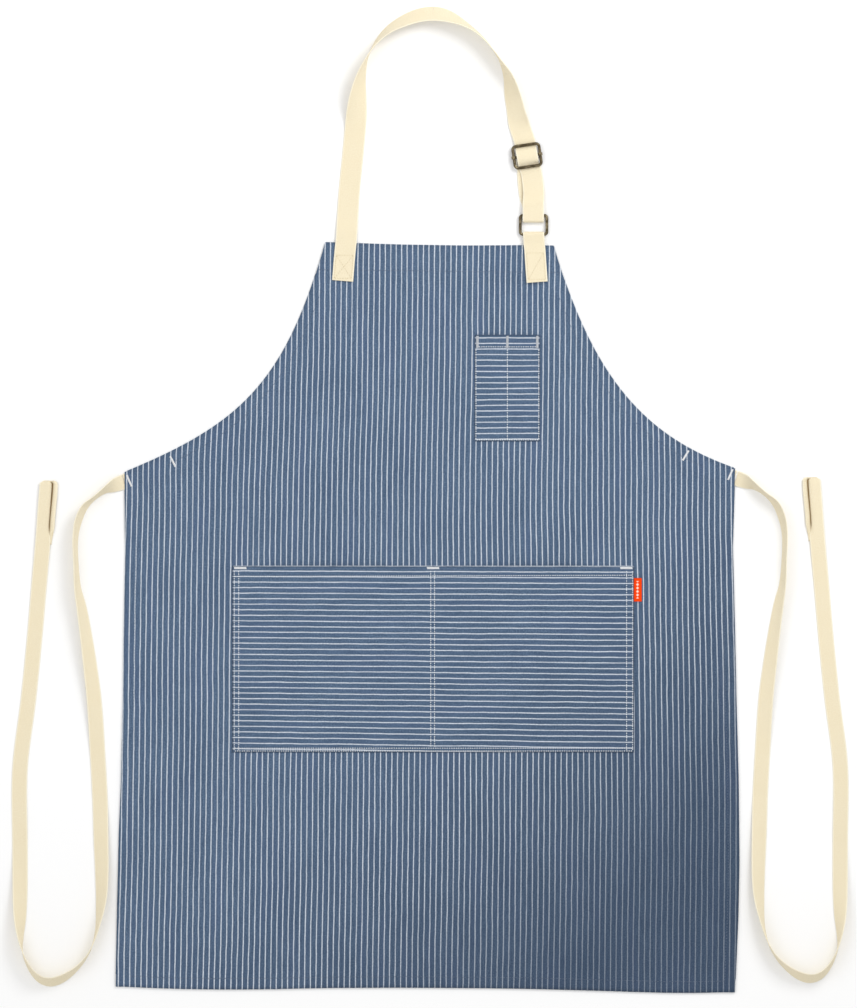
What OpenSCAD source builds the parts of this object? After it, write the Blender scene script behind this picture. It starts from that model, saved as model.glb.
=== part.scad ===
// Butcher apron lying flat, bib towards +Y, front face up, underside on the floor at z = 0.

/* [Cloth] */
// Thickness of one ply of the striped cloth
ply = 0.7; // [0.5:0.1:1]
// Width across the waist corners, where the ties leave
waist_w = 702; // [640:2:760]
// Width across the bottom edge
hem_w = 712; // [660:2:780]
// Length from the waist corners down to the bottom edge
skirt_l = 598; // [540:2:660]
// Width of the bib's top edge
bib_w = 263; // [256:1:300]
// Length from the waist corners up to the bib's top edge
bib_l = 260; // [240:2:280]
// Depth of the turned hem at the sides, the armholes and the bottom
hem_d = 14; // [10:1:18]
// Depth of the turned hem across the bib's top
top_hem_d = 34; // [28:1:40]

/* [Main pocket] */
// Width of the two-part front pocket
pocket_w = 462; // [400:2:500]
// Height of the front pocket
pocket_h = 214; // [180:2:240]
// Height that the pocket's mouth stands open
pocket_gape = 6; // [5.5:0.5:12]

/* [Chest pocket] */
// Width of the two-part chest pocket
chest_w = 75; // [64:1:90]
// Height of the chest pocket
chest_h = 122; // [100:2:140]
// Height that the chest pocket's mouth stands open
chest_gape = 6; // [5.5:0.5:9]

/* [Straps] */
// Width of the neck webbing
strap_w = 24.4; // [20:0.2:24.6]
// Width of the tie webbing
tie_w = 17.6; // [14:0.2:20]
// Thickness of the webbing
web_t = 1.2; // [0.8:0.1:1.4]

/* [Hardware] */
// Diameter of the brass wire
wire_d = 3.4; // [2.8:0.1:3.6]
// Outside length of the ring and the slider, along their bars
frame_w = 34; // [33:0.5:38]
// Outside height of the ring
ring_h = 25; // [24:0.5:30]
// Outside height of the slider
slider_h = 28.6; // [28:0.2:34]
// Diameter of the slider's centre bar
bar_d = 3; // [2.4:0.1:3.2]

/* [Hidden] */
$fn = 48;

// Colours
blue = [0.34, 0.43, 0.58];
cream = [0.95, 0.9, 0.78];
white = [0.93, 0.93, 0.92];
brass = [0.45, 0.4, 0.31];
orange = [0.95, 0.3, 0.08];

// Heights: the turned hems lie on the floor, the panel on the hems, and the rest on the panel
hem_t = 2 * ply;
front_z = hem_t + ply;
stitch_h = 0.4;
stitch_w = 0.8;
joint_gap = 0.4;

// The row frame's origin is the middle of the footprint without the ties
waist_y = 34.2;

// The garment lies slightly askew: its centre line leans, and its cross lines tilt
function lean(v) = lookup(v, [[-skirt_l, -3], [0, 2.7], [bib_l, 13.8]]);
function tilt(v) = lookup(v, [[-skirt_l, -0.01], [-300, 0.003], [0, 0.006], [bib_l, -0.015]]);
function lie(p) = [p[0] + lean(p[1]), p[1] + waist_y + tilt(p[1]) * p[0]];
function lay(points) = [for (p = points) lie(p)];

// Armhole edge, from the bib's corner (t = 0) to the waist corner (t = 1), as if on the right
function armhole_drop(side) = side > 0 ? [58, -174] : [39, -160];
function armhole_reach(side) = side > 0 ? [-86, 32] : [-129, 52];
bib_corner = [bib_w / 2, bib_l];
waist_corner = [waist_w / 2, 0];
function bezier(a, b, c, d, t) =
    pow(1 - t, 3) * a + 3 * pow(1 - t, 2) * t * b + 3 * (1 - t) * t * t * c + t * t * t * d;
function armhole(side, t) =
    bezier(bib_corner, bib_corner + armhole_drop(side), waist_corner + armhole_reach(side),
        waist_corner, t);
function unit(v) = v / norm(v);
function armhole_inward(side, t) =
    let (along = unit(armhole(side, t + 0.001) - armhole(side, t - 0.001))) [along[1], -along[0]];
function armhole_inset(side, t, distance) = armhole(side, t) + distance * armhole_inward(side, t);
function flip(points) = [for (p = points) [-p[0], p[1]]];
function reverse(list) = [for (i = [len(list) - 1:-1:0]) list[i]];

// The sides draw in below the waist corners and belly out above the hem
right_bow = [
    [-skirt_l, 1.1], [-510, 1.68], [-450, 1.8], [-360, 1.46], [-270, 0.8], [-180, 0.24], [-90, -0.4], [0, 0]
];
left_bow = [
    [-skirt_l, 0.9], [-510, 0.72], [-420, 0.48], [-360, 0.1], [-270, -0.12], [-180, -0.16], [-90, -0.36],
    [0, 0]
];
function side_u(side, v) =
    waist_w / 2 + (hem_w - waist_w) / 2 * lookup(v, side > 0 ? right_bow : left_bow);

side_steps = [-90, -180, -270, -360, -430, -510];
function half_outline(side) =
    concat(
        [for (i = [0:20]) armhole(side, i / 20)],
        [for (v = concat(side_steps, [-skirt_l])) [side_u(side, v), v]]
    );
outline = concat(half_outline(1), reverse(flip(half_outline(-1))));

module plate(points, z, thickness) {
    translate([0, 0, z])
        linear_extrude(thickness)
            polygon(points);
}

module mirrored_plate(points, z, thickness, side) {
    plate(lay(side > 0 ? points : flip(points)), z, thickness);
}

module bar_between(a, b, width, z, height) {
    along = unit(b - a);
    across = [-along[1], along[0]] * width / 2;
    plate([a - across, b - across, b + across, a + across], z, height);
}

// Panel and hems
facing_gap = 0.5;
facing_start = 0.08;
top_hem_v = bib_l - top_hem_d;

module body_panel() {
    color(blue) plate(lay(outline), hem_t, ply);
}

function top_facing_half(side) =
    let (edge = [for (t = [0:0.02:0.1]) if (armhole(side, t)[1] > top_hem_v) armhole(side, t)])
    concat(edge, [[edge[len(edge) - 1][0], top_hem_v]]);

module top_facing() {
    color(blue) plate(lay(concat(top_facing_half(1), reverse(flip(top_facing_half(-1))))), 0, hem_t);
}

function bottom_half(side) = [for (v = [-skirt_l, -skirt_l + hem_d]) [side_u(side, v), v]];

module bottom_hem() {
    color(blue) plate(lay(concat(bottom_half(1), reverse(flip(bottom_half(-1))))), 0, hem_t);
}

module side_hem(side) {
    steps = concat([-hem_d - 7], side_steps, [-skirt_l + hem_d + facing_gap]);
    outer = [for (v = steps) [side_u(side, v), v]];
    inner = [for (p = reverse(outer)) [p[0] - hem_d, p[1]]];
    color(blue) mirrored_plate(concat(outer, inner), 0, hem_t, side);
}

module armhole_facing(side) {
    steps = [for (i = [0:16]) facing_start + (1 - facing_start) * i / 16];
    outer = [for (t = steps) armhole(side, t)];
    inner = [for (t = reverse(steps)) armhole_inset(side, t, hem_d)];
    color(blue)
        difference() {
            mirrored_plate(concat(outer, inner), 0, hem_t, side);
            tie_anchor_block(side, joint_gap / 2, -1, hem_t + 2);
        }
}

// Ties: each end is sewn inside the armhole hem, between two bartacks
anchor_out = [waist_w / 2 - 0.5, -10.8];
anchor_in = [waist_w / 2 - 55, 12];
anchor_z = 0.1;

module tie_anchor_block(side, grow, z, height) {
    ends = side > 0 ? [anchor_out, anchor_in] : flip([anchor_out, anchor_in]);
    a = lie(ends[0]);
    b = lie(ends[1]);
    bar_between(a - unit(b - a) * grow, b + unit(b - a) * grow, tie_w + 2 * grow, z, height);
}

module tie_anchor(side) {
    color(cream) tie_anchor_block(side, 0, anchor_z, web_t);
}

// Pockets: each compartment is a shallow shell, closed below and at its sides and open at the top
module compartment(width, height, rise, slope) {
    intersection() {
        rotate([90, 0, 0])
            translate([0, 0, -height])
                linear_extrude(height)
                    polygon([[0, 0], [slope, rise], [width - slope, rise], [width, 0]]);
        rotate([90, 0, 90])
            linear_extrude(width)
                polygon([[0, 0], [slope, rise], [height, rise], [height, 0]]);
    }
}

module compartment_shell(width, height, gape, slope) {
    difference() {
        compartment(width, height, gape + ply, slope);
        translate([ply, ply, -0.01])
            compartment(width - 2 * ply, height, gape + 0.01, slope);
    }
}

// A pocket in its own frame: x from its centre, y up from its bottom edge, z from the panel
module pocket(width, height, gape, edge_flange, mid_flange, foot_flange, slope) {
    room = (width - 2 * edge_flange - mid_flange) / 2;
    bite = 0.5;
    union() {
        for (x = [-width / 2 + edge_flange, mid_flange / 2])
            translate([x, foot_flange, 0])
                compartment_shell(room, height - foot_flange, gape, slope);
        for (x = [-width / 2, width / 2 - edge_flange - bite])
            translate([x, 0, 0]) cube([edge_flange + bite, height, ply]);
        translate([-mid_flange / 2 - bite, 0, 0]) cube([mid_flange + 2 * bite, height, ply]);
        translate([-width / 2, 0, 0]) cube([width, foot_flange + bite, ply]);
    }
}

module pocket_hem_bands(width, height, gape, edge_flange, mid_flange, slope, depth) {
    room = (width - 2 * edge_flange - mid_flange) / 2;
    clear = slope + 2 * ply;
    for (x = [-width / 2 + edge_flange, mid_flange / 2])
        translate([x + clear, height - depth, gape - ply])
            cube([room - 2 * clear, depth, ply]);
}

// Main pocket
pocket_u = 5.5;
pocket_top_v = -110;
pocket_edge = 17;
pocket_mid = 17;
pocket_foot = 9;
pocket_slope = 15;
pocket_hem_d = 13;
// The pocket sits a little off the panel's centre line
pocket_shift = [1.3, -0.4];

module at_main_pocket() {
    p = lie([pocket_u, pocket_top_v - pocket_h]) + pocket_shift;
    translate([p[0], p[1], front_z]) children();
}

module main_pocket() {
    color(blue)
        at_main_pocket()
            pocket(pocket_w, pocket_h, pocket_gape, pocket_edge, pocket_mid, pocket_foot, pocket_slope);
}

module main_pocket_hem() {
    color(blue)
        at_main_pocket()
            pocket_hem_bands(pocket_w, pocket_h, pocket_gape, pocket_edge, pocket_mid, pocket_slope,
                pocket_hem_d);
}

// Chest pocket
chest_u = 85;
chest_top_v = 155;
chest_edge = 5;
chest_mid = 5;
chest_foot = 4;
chest_slope = 5;
chest_hem_d = 13;
chest_shift = [2.7, 0];

module at_chest_pocket() {
    p = lie([chest_u, chest_top_v - chest_h]) + chest_shift;
    translate([p[0], p[1], front_z]) children();
}

module chest_pocket() {
    color(blue)
        at_chest_pocket()
            pocket(chest_w, chest_h, chest_gape, chest_edge, chest_mid, chest_foot, chest_slope);
}

module chest_pocket_hem() {
    color(blue)
        at_chest_pocket()
            pocket_hem_bands(chest_w, chest_h, chest_gape, chest_edge, chest_mid, chest_slope,
                chest_hem_d);
}

// Folded fabric label beside the main pocket's right edge, which it can flip over
label_w = 9;
label_h = 27;
label_t = 0.8;
label_drop = 13.5;

module pocket_label() {
    color(orange)
        at_main_pocket()
            translate([pocket_w / 2 + 0.3, pocket_h - label_drop - label_h, 0.1])
                cube([label_w, label_h, label_t]);
}

// Ring, slider and the centre bar that floats in it
wire_r = wire_d / 2;
ring_x = 122;
ring_y = 316.3;
ring_z = 3.4;
ring_corner = 2.9;
slider_x = 114.4;
slider_y = 395.6;
slider_z = 5;
slider_turn = 8.5;
slider_corner = 4;
bar_r = bar_d / 2;
bar_z = 3.2;
wrap_gap = 0.1;
curl_l = 3.2;
curl_wall = 0.9;

// Rounded rectangle of round wire, centred on the origin, in the XY plane
module wire_frame(width, height, corner) {
    x = width / 2 - wire_r - corner;
    y = height / 2 - wire_r - corner;
    for (s = [-1, 1]) {
        translate([-x, s * (y + corner), 0]) rotate([0, 90, 0]) cylinder(r = wire_r, h = 2 * x);
        translate([s * (x + corner), -y, 0]) rotate([-90, 0, 0]) cylinder(r = wire_r, h = 2 * y);
    }
    for (i = [0:3]) {
        sx = i == 0 || i == 3 ? 1 : -1;
        sy = i < 2 ? 1 : -1;
        translate([sx * x, sy * y, 0])
            rotate([0, 0, 90 * i])
                rotate_extrude(angle = 90) translate([corner, 0]) circle(r = wire_r);
    }
}

module ring() {
    color(brass) translate([ring_x, ring_y, ring_z]) wire_frame(frame_w, ring_h, ring_corner);
}

module at_slider() {
    translate([slider_x, slider_y, 0]) rotate([0, 0, slider_turn]) children();
}

module slider_frame() {
    color(brass) at_slider() translate([0, 0, slider_z]) wire_frame(frame_w, slider_h, slider_corner);
}

// The bar's ends are curled round the frame's side wires
module slider_bar() {
    reach = frame_w / 2 - wire_r;
    hole = wire_r + wrap_gap;
    color(brass)
        at_slider()
            difference() {
                union() {
                    translate([-reach, 0, bar_z]) rotate([0, 90, 0]) cylinder(r = bar_r, h = 2 * reach);
                    for (s = [-1, 1])
                        translate([s * reach, -curl_l / 2, slider_z])
                            rotate([-90, 0, 0]) cylinder(r = hole + curl_wall, h = curl_l);
                }
                for (s = [-1, 1])
                    translate([s * reach, -curl_l, slider_z])
                        rotate([-90, 0, 0]) cylinder(r = hole, h = 2 * curl_l);
            }
}

// Webbing folded round a bar that runs along x at the origin, its two legs along +Y
module web_fold(width, inner_r, leg) {
    outer_r = inner_r + web_t;
    rotate([90, 0, 90])
        translate([0, 0, -width / 2])
            linear_extrude(width)
                difference() {
                    union() {
                        circle(r = outer_r);
                        translate([0, -outer_r]) square([leg, 2 * outer_r]);
                    }
                    circle(r = inner_r);
                    translate([0, -inner_r]) square([leg + 1, 2 * inner_r]);
                }
}

// Tab: folded round the ring's lower bar, then sewn to the front of the bib as a double layer
bar_y = ring_y - ring_h / 2 + wire_r;
fold_r = wire_r + wrap_gap;
tab_edge_y = 298;
tab_end = [126, 250];

module strap_tab() {
    leg = bar_y - tab_edge_y;
    half = strap_w / 2;
    top = front_z + 2 * web_t;
    color(cream)
        union() {
            translate([ring_x, bar_y, ring_z])
                rotate([0, 0, 180]) web_fold(strap_w, fold_r, leg);
            // The two layers close up where the fold meets the bib
            translate([ring_x - half, 0, 0])
                rotate([90, 0, 90])
                    linear_extrude(strap_w)
                        polygon([
                            [tab_edge_y, ring_z - fold_r - web_t], [tab_edge_y + 1, ring_z - fold_r - web_t],
                            [tab_edge_y + 1, ring_z + fold_r + web_t], [tab_edge_y, ring_z + fold_r + web_t],
                            [tab_edge_y - 3, top], [tab_edge_y - 3, front_z]
                        ]);
            plate([
                [ring_x - half, tab_edge_y - 3], [tab_end[0] - half, tab_end[1]],
                [tab_end[0] + half, tab_end[1] + 1], [ring_x + half, tab_edge_y - 3]
            ], front_z, 2 * web_t);
        }
}

// Swept webbing: each route point is [x, y, lowest z, roll], and roll lifts the strap's left edge
function direction(route, i) =
    let (a = route[max(i - 1, 0)], b = route[min(i + 1, len(route) - 1)])
    unit([b[0] - a[0], b[1] - a[1], 0]);
function half_height(width, roll) =
    width / 2 * abs(sin(roll)) + web_t / 2 * abs(cos(roll));
function web_section(width) =
    let (w = width / 2, t = web_t / 2, c = 0.3)
    [[w, -t + c], [w, t - c], [w - c, t], [-w + c, t], [-w, t - c], [-w, -t + c], [-w + c, -t],
        [w - c, -t]];
function web_ring(route, i, width) =
    let (
        along = direction(route, i),
        right = cross(along, [0, 0, 1]),
        roll = route[i][3],
        across = right * cos(roll) - [0, 0, 1] * sin(roll),
        up = cross(across, along),
        middle = [route[i][0], route[i][1], route[i][2] + half_height(width, roll)]
    )
    [for (s = web_section(width)) middle + across * s[0] + up * s[1]];

module webbing(route, width) {
    rings = len(route);
    sides = 8;
    points = [for (i = [0:rings - 1]) each web_ring(route, i, width)];
    walls = [
        for (i = [0:rings - 2], s = [0:sides - 1])
            let (
                near = i * sides + s,
                near_next = i * sides + (s + 1) % sides,
                far = near + sides,
                far_next = near_next + sides
            )
            // Both faces split along the same diagonal, so that a twisted stretch keeps its thickness
            each s < 5
                ? [[near, near_next, far_next], [near, far_next, far]]
                : [[near, near_next, far], [near_next, far_next, far]]
    ];
    first = [for (s = [sides - 1:-1:0]) s];
    last = [for (s = [0:sides - 1]) (rings - 1) * sides + s];
    polyhedron(points, concat([first], walls, [last]), convexity = 8);
}

// Neck strap: its left end is sewn on the front of the bib, and folds at the ring bar's line
sewn_end_route = [
    [-97.6, 252, front_z, 0], [-94.6, 288, front_z, 0], [-93.3, 300.3, front_z, 0],
    [-93, bar_y - joint_gap / 2, front_z, 0]
];

neck_route = [
    [-93, bar_y + joint_gap / 2, front_z, 0], [-92.7, 310.5, 1.8, 0], [-91.9, 325, 0.8, 0],
    [-90, 355, 0, 0], [-86, 395, 0, 0],
    [-82.4, 435, 0, 6], [-80.4, 462, 0, 36], [-77, 485, 0, 62], [-69.5, 508, 0, 86],
    [-58, 527, 0, 100], [-45, 540, 0, 112], [-28, 550, 0, 124], [-9, 557, 0, 132], [10, 559, 0, 136],
    [30, 556.5, 0, 132], [48, 548.5, 0, 118], [61, 538, 0, 104], [72, 524.4, 0, 94],
    [83.4, 502.6, 0, 84], [93, 485, 0, 64], [98.2, 464, 0, 40], [102.6, 443, 0, 26], [105.5, 431, 0.6, 8]
];

// The fold round the ring's upper bar, whose two legs reach up to the same line
fold_x = 121.6;
fold_low_y = 322;
fold_top_y = 337;

// Between the bends and the ring the strap weaves under, over and under the slider's bars
adjusting_route = [
    [105.5, 430.8, 0.6, 0], [109.2, 420, 1.2, 0], [111.9, 411.5, 1.8, 0], [112.7, 406.5, 1.8, 0],
    [113.3, 402.5, 4.6, 0], [114, 398.5, 6.2, 0], [114.6, 395.6, 6.4, 0], [115.1, 392.6, 6.2, 0],
    [115.8, 388.5, 4, 0], [116.5, 384.5, 1.7, 0], [118.4, 379.4, 1.8, 0], [120.9, 366, 2.4, 0],
    [122.2, 350, 4, 0], [fold_x, 341, ring_z + fold_r, 0],
    [fold_x, fold_top_y + joint_gap / 2, ring_z + fold_r, 0]
];

return_route = [
    [fold_x, fold_top_y + joint_gap / 2, ring_z - fold_r - web_t, 0],
    [fold_x, 341, ring_z - fold_r - web_t, 0], [117.6, 350, 0.3, 0], [115.9, 366, 0.2, 0],
    [115.3, 380, 0.2, 0], [115.13, 386.6, 0.2, 0], [114.14, 393.2, 0.2, 0]
];

module neck_strap_sewn_end() {
    color(cream) webbing(sewn_end_route, strap_w);
}

module neck_strap() {
    color(cream) webbing(neck_route, strap_w);
}

module adjusting_strap() {
    color(cream) webbing(adjusting_route, strap_w);
}

module strap_return() {
    color(cream) webbing(return_route, strap_w);
}

// Loose fold of the strap round the ring's upper bar
module strap_fold() {
    color(cream)
        translate([fold_x, fold_low_y, ring_z]) web_fold(strap_w, fold_r, fold_top_y - fold_low_y);
}

// The strap's sewn end, looped round the slider's centre bar
module strap_return_loop() {
    inner_r = bar_r + wrap_gap;
    color(cream)
        at_slider()
            translate([0, 0, bar_z])
                rotate([0, 0, 180]) web_fold(strap_w - 1, inner_r, 2);
}

// Tie route of the left side, from the side edge down, round and back up to its turned end
left_tie_route = [
    [-349, 21, 0.1, 0], [-360, 17, 0.1, -30], [-368, 13, 0, -60], [-382, 3, 0, -77], [-394, -8, 0, -66],
    [-401, -23, 0, -63], [-404.5, -41, 0, -70], [-404, -74, 0, -73], [-402, -102, 0, -65],
    [-398, -122, 0, -52], [-392, -160, 0, -38], [-387, -198, 0, -25], [-383.5, -228, 0, -16],
    [-379, -298, 0, 0], [-376.6, -343, 0, 0], [-375.4, -388, 0, 12], [-374.3, -434, 0, 29],
    [-375, -460, 0, 45], [-379.5, -492, 0, 76], [-384.5, -510, 0, 88], [-392, -525, 0, 96],
    [-401, -536, 0, 104], [-411, -544.5, 0, 114], [-422, -551, 0, 124], [-433, -554, 0, 128],
    [-443, -552, 0, 122], [-452, -545, 0, 112], [-460, -533, 0, 102], [-465.5, -519, 0, 92],
    [-468, -500, 0, 66],
    [-468.5, -478, 0, 36], [-468.5, -445, 0, 12], [-468.6, -400, 0, 0], [-468.6, -309, 0, 0],
    [-459, -230, 0, 0], [-452, -160, 0, 0], [-446, -90, 0.4, 0], [-442.3, -52, 1.2, 0], [-438, 0, 1.2, 0],
    [-436, 22, 1.2, 0]
];
right_tie_shift = [6, 4, 0];
tie_tail_l = 72;
tie_tail_top = 5;
tie_tail_foot = 1.5;

module tie_sides(side) {
    translate(side > 0 ? right_tie_shift : [0, 0, 0])
        mirror([side > 0 ? 1 : 0, 0, 0]) children();
}

module tie(side) {
    color(cream) tie_sides(side) webbing(left_tie_route, tie_w);
}

// The tie's end is turned back under itself and sewn
module tie_end(side) {
    last = left_tie_route[len(left_tie_route) - 1];
    top = [last[0] + tie_tail_top, last[1]];
    foot = [last[0] - 6 + tie_tail_foot, last[1] - tie_tail_l];
    color(cream) tie_sides(side) bar_between(foot, top, tie_w, 0, web_t);
}

// Seams, as lines of thread that stand on the cloth
module seam(points, z) {
    for (i = [0:len(points) - 2])
        bar_between(points[i], points[i + 1], stitch_w, z, stitch_h);
}

top_seam_v = bib_l - 31;
strap_clear = 16;

module top_hem_stitching() {
    strap_x = -96;
    edge_left = lie([-bib_w / 2 - 6, top_seam_v]);
    edge_right = lie([bib_w / 2 + 6, top_seam_v]);
    slope = (edge_right[1] - edge_left[1]) / (edge_right[0] - edge_left[0]);
    stops = [edge_left[0], strap_x - strap_clear, strap_x + strap_clear, tab_end[0] - strap_clear];
    color(cream)
        for (i = [0, 2])
            seam([
                [stops[i], edge_left[1] + slope * (stops[i] - edge_left[0])],
                [stops[i + 1], edge_left[1] + slope * (stops[i + 1] - edge_left[0])]
            ], front_z);
}

function hem_seam(side, out) =
    let (inset = hem_d - 1.5 - out, foot_v = -skirt_l + hem_d - 1.5)
    concat(
        [for (v = concat([-20], side_steps)) [side_u(side, v) - inset, v]],
        [[side_u(side, foot_v) - inset, foot_v - out]]
    );

module hem_stitching() {
    half = stitch_w / 2;
    color(cream)
        plate(lay(concat(
            hem_seam(1, half), reverse(flip(hem_seam(-1, half))), flip(hem_seam(-1, -half)),
            reverse(hem_seam(1, -half))
        )), front_z, stitch_h);
}

function armhole_seam(side) =
    let (
        steps = [for (i = [0:14]) 0.12 + 0.65 * i / 14],
        middle = hem_d - 2,
        near = [for (t = steps) armhole_inset(side, t, middle - stitch_w / 2)],
        far = [for (t = steps) armhole_inset(side, t, middle + stitch_w / 2)]
    )
    concat(near, reverse(far));

module armhole_stitching() {
    color(cream) {
        plate(lay(armhole_seam(1)), front_z, stitch_h);
        plate(lay(flip(armhole_seam(-1))), front_z, stitch_h);
    }
}

module main_pocket_stitching() {
    near = 3;
    far = 8;
    mid = 2.2;
    bartack_room = 6;
    color(cream)
        at_main_pocket() {
            for (x = [-pocket_w / 2 + near, -pocket_w / 2 + far, -mid, mid, pocket_w / 2 - far,
                    pocket_w / 2 - near])
                seam([[x, 8.5], [x, pocket_h - bartack_room]], ply);
            for (y = [2, 5])
                seam([[-pocket_w / 2 + near, y], [pocket_w / 2 - near, y]], ply);
        }
}

module chest_pocket_stitching() {
    near = 1.2;
    bartack_room = 17;
    color(cream)
        at_chest_pocket() {
            for (x = [-chest_w / 2 + near, 0, chest_w / 2 - near])
                seam([[x, 3.5], [x, chest_h - bartack_room]], ply);
            seam([[-chest_w / 2 + near, 1.6], [chest_w / 2 - near, 1.6]], ply);
        }
}

// A sewn box with a cross line, on the strap's end and on the tab
module box_stitch(low, high, half, z) {
    corners = [[low[0] - half, low[1]], [low[0] + half, low[1]], [high[0] + half, high[1]],
        [high[0] - half, high[1]]];
    for (i = [0, 2]) seam([corners[i], corners[i + 1]], z);
    inner = 1;
    seam([corners[0] + [0, inner], corners[3] - [0, inner]], z);
    seam([corners[1] + [0, inner], corners[2] - [0, inner]], z);
}

module strap_stitching() {
    color(cream) box_stitch([-97.4, 254.5], [-95.2, 281], 9.6, front_z + web_t);
}

module tab_stitching() {
    color(cream) box_stitch([125.8, 253.5], [123.6, 284], 9.6, front_z + 2 * web_t);
}

// Bartacks
bartack_l = 14;
bartack_w = 2.8;
bartack_h = 0.7;

module main_pocket_bartacks() {
    edge = pocket_w / 2 - 2 - bartack_l / 2;
    color(white)
        at_main_pocket()
            for (x = [-edge, 0, edge])
                translate([x - bartack_l / 2, pocket_h - 4.2, ply]) cube([bartack_l, bartack_w, bartack_h]);
}

module chest_pocket_bartacks() {
    edge = chest_w / 2 - 1 - bartack_w / 2;
    color(white)
        at_chest_pocket()
            for (x = [-edge, 0, edge])
                translate([x - bartack_w / 2, chest_h - bartack_l - 0.6, ply])
                    cube([bartack_w, bartack_l, bartack_h]);
}

module tie_bartacks() {
    right = [[[348.2, -1], [343, -13]], [[296.7, 21.3], [290.3, 9.8]]];
    left = [[[348.5, -3.6], [342.8, -16.6]], [[299.3, 17.5], [292.7, 5.6]]];
    color(white)
        for (pair = [right[0], right[1], flip(left[0]), flip(left[1])])
            bar_between(lie(pair[0]), lie(pair[1]), bartack_w, front_z, bartack_h);
}

body_panel();
top_facing();
bottom_hem();
side_hem(-1);  // left_side_hem
side_hem(1);  // right_side_hem
armhole_facing(-1);  // left_armhole_facing
armhole_facing(1);  // right_armhole_facing
main_pocket();
main_pocket_hem();
chest_pocket();
chest_pocket_hem();
pocket_label();
neck_strap_sewn_end();
strap_tab();
ring();
neck_strap();
strap_fold();
adjusting_strap();
strap_return();
strap_return_loop();
slider_frame();
slider_bar();
tie(-1);  // left_tie
tie(1);  // right_tie
tie_end(-1);  // left_tie_end
tie_end(1);  // right_tie_end
tie_anchor(-1);  // left_tie_anchor
tie_anchor(1);  // right_tie_anchor
top_hem_stitching();
hem_stitching();
armhole_stitching();
main_pocket_stitching();
chest_pocket_stitching();
strap_stitching();
tab_stitching();
main_pocket_bartacks();
chest_pocket_bartacks();
tie_bartacks();
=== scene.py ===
"""Butcher apron lying flat: the looks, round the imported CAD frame. Shapes are in mm until a mesh is made."""
import math
import random

import bpy
import numpy as np
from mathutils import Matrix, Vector


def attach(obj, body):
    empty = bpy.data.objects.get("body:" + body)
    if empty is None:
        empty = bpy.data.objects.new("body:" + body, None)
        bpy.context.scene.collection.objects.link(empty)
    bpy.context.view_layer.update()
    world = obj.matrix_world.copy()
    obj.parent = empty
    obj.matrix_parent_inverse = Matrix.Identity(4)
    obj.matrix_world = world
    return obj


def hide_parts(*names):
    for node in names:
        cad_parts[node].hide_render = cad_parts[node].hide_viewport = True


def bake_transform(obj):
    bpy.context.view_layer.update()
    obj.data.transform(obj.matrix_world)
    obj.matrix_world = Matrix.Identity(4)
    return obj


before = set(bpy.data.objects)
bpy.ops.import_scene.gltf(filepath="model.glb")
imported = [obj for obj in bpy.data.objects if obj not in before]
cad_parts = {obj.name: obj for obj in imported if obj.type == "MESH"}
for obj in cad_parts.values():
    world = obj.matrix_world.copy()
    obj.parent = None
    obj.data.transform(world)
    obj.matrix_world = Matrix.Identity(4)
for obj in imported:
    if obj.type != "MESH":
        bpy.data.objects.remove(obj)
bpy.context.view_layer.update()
random.seed(7)
MM = 0.001

# The driving sizes, as in the CAD source
PLY = 0.7
WAIST_W, HEM_W, SKIRT_L = 702, 712, 598
BIB_W, BIB_L = 263, 260
HEM_D, TOP_HEM_D = 14, 34
POCKET_W, POCKET_H = 462, 214
CHEST_W, CHEST_H = 75, 122
STRAP_W, TIE_W, WEB_T = 24.4, 17.6, 1.2
WIRE_R, BAR_R = 1.7, 1.5
WAIST_Y = 34.2
RING_X, RING_Y, RING_Z, RING_H = 122, 316.3, 3.4, 25
SLIDER_X, SLIDER_Y, SLIDER_TURN = 114.4, 395.6, math.radians(8.5)
BAR_Z = 3.2


# ---------------------------------------------------------------- camera

PHOTO_H_MM = 1159.2
CAMERA_HEIGHT = 12.0


def make_camera():
    """Straight down on the apron, as wide as the photograph's frame."""
    data = bpy.data.cameras.new("camera")
    data.sensor_fit = "VERTICAL"
    data.sensor_height = 36
    data.lens = data.sensor_height * CAMERA_HEIGHT / (PHOTO_H_MM * MM)
    data.clip_end = 50
    camera = bpy.data.objects.new("camera", data)
    camera.location = (0.00115, -0.0046, CAMERA_HEIGHT)
    bpy.context.scene.collection.objects.link(camera)
    bpy.context.scene.camera = camera


make_camera()


# ---------------------------------------------------------------- shared shape functions

def lookup(x, pairs):
    return np.interp(x, [p[0] for p in pairs], [p[1] for p in pairs])


def lean(v):
    return lookup(v, [(-SKIRT_L, -3), (0, 2.7), (BIB_L, 13.8)])


def tilt(v):
    return lookup(v, [(-SKIRT_L, -0.01), (-300, 0.003), (0, 0.006), (BIB_L, -0.015)])


# How far the bottom edge and the bib's top edge wander up or down along their length, as measured
BOTTOM_WAVE = [(-346, 1.0), (-311, -0.2), (-277, -1.0), (-242, -1.1), (-208, -0.8), (-173, -0.1), (-139, 1.1),
               (-104, 2.0), (-70, 2.5), (-35, 3.0), (0, 3.2), (68, 3.4), (102, 3.3), (137, 2.9), (171, 2.3),
               (206, 1.7), (240, 0.9), (275, 0.3), (309, 0.4), (344, 1.5)]
TOP_WAVE = [(-126, 0), (-91, -0.6), (-74, -1.0), (-40, -1.5), (30, -1.5), (64, -0.8), (100, 0)]


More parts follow.
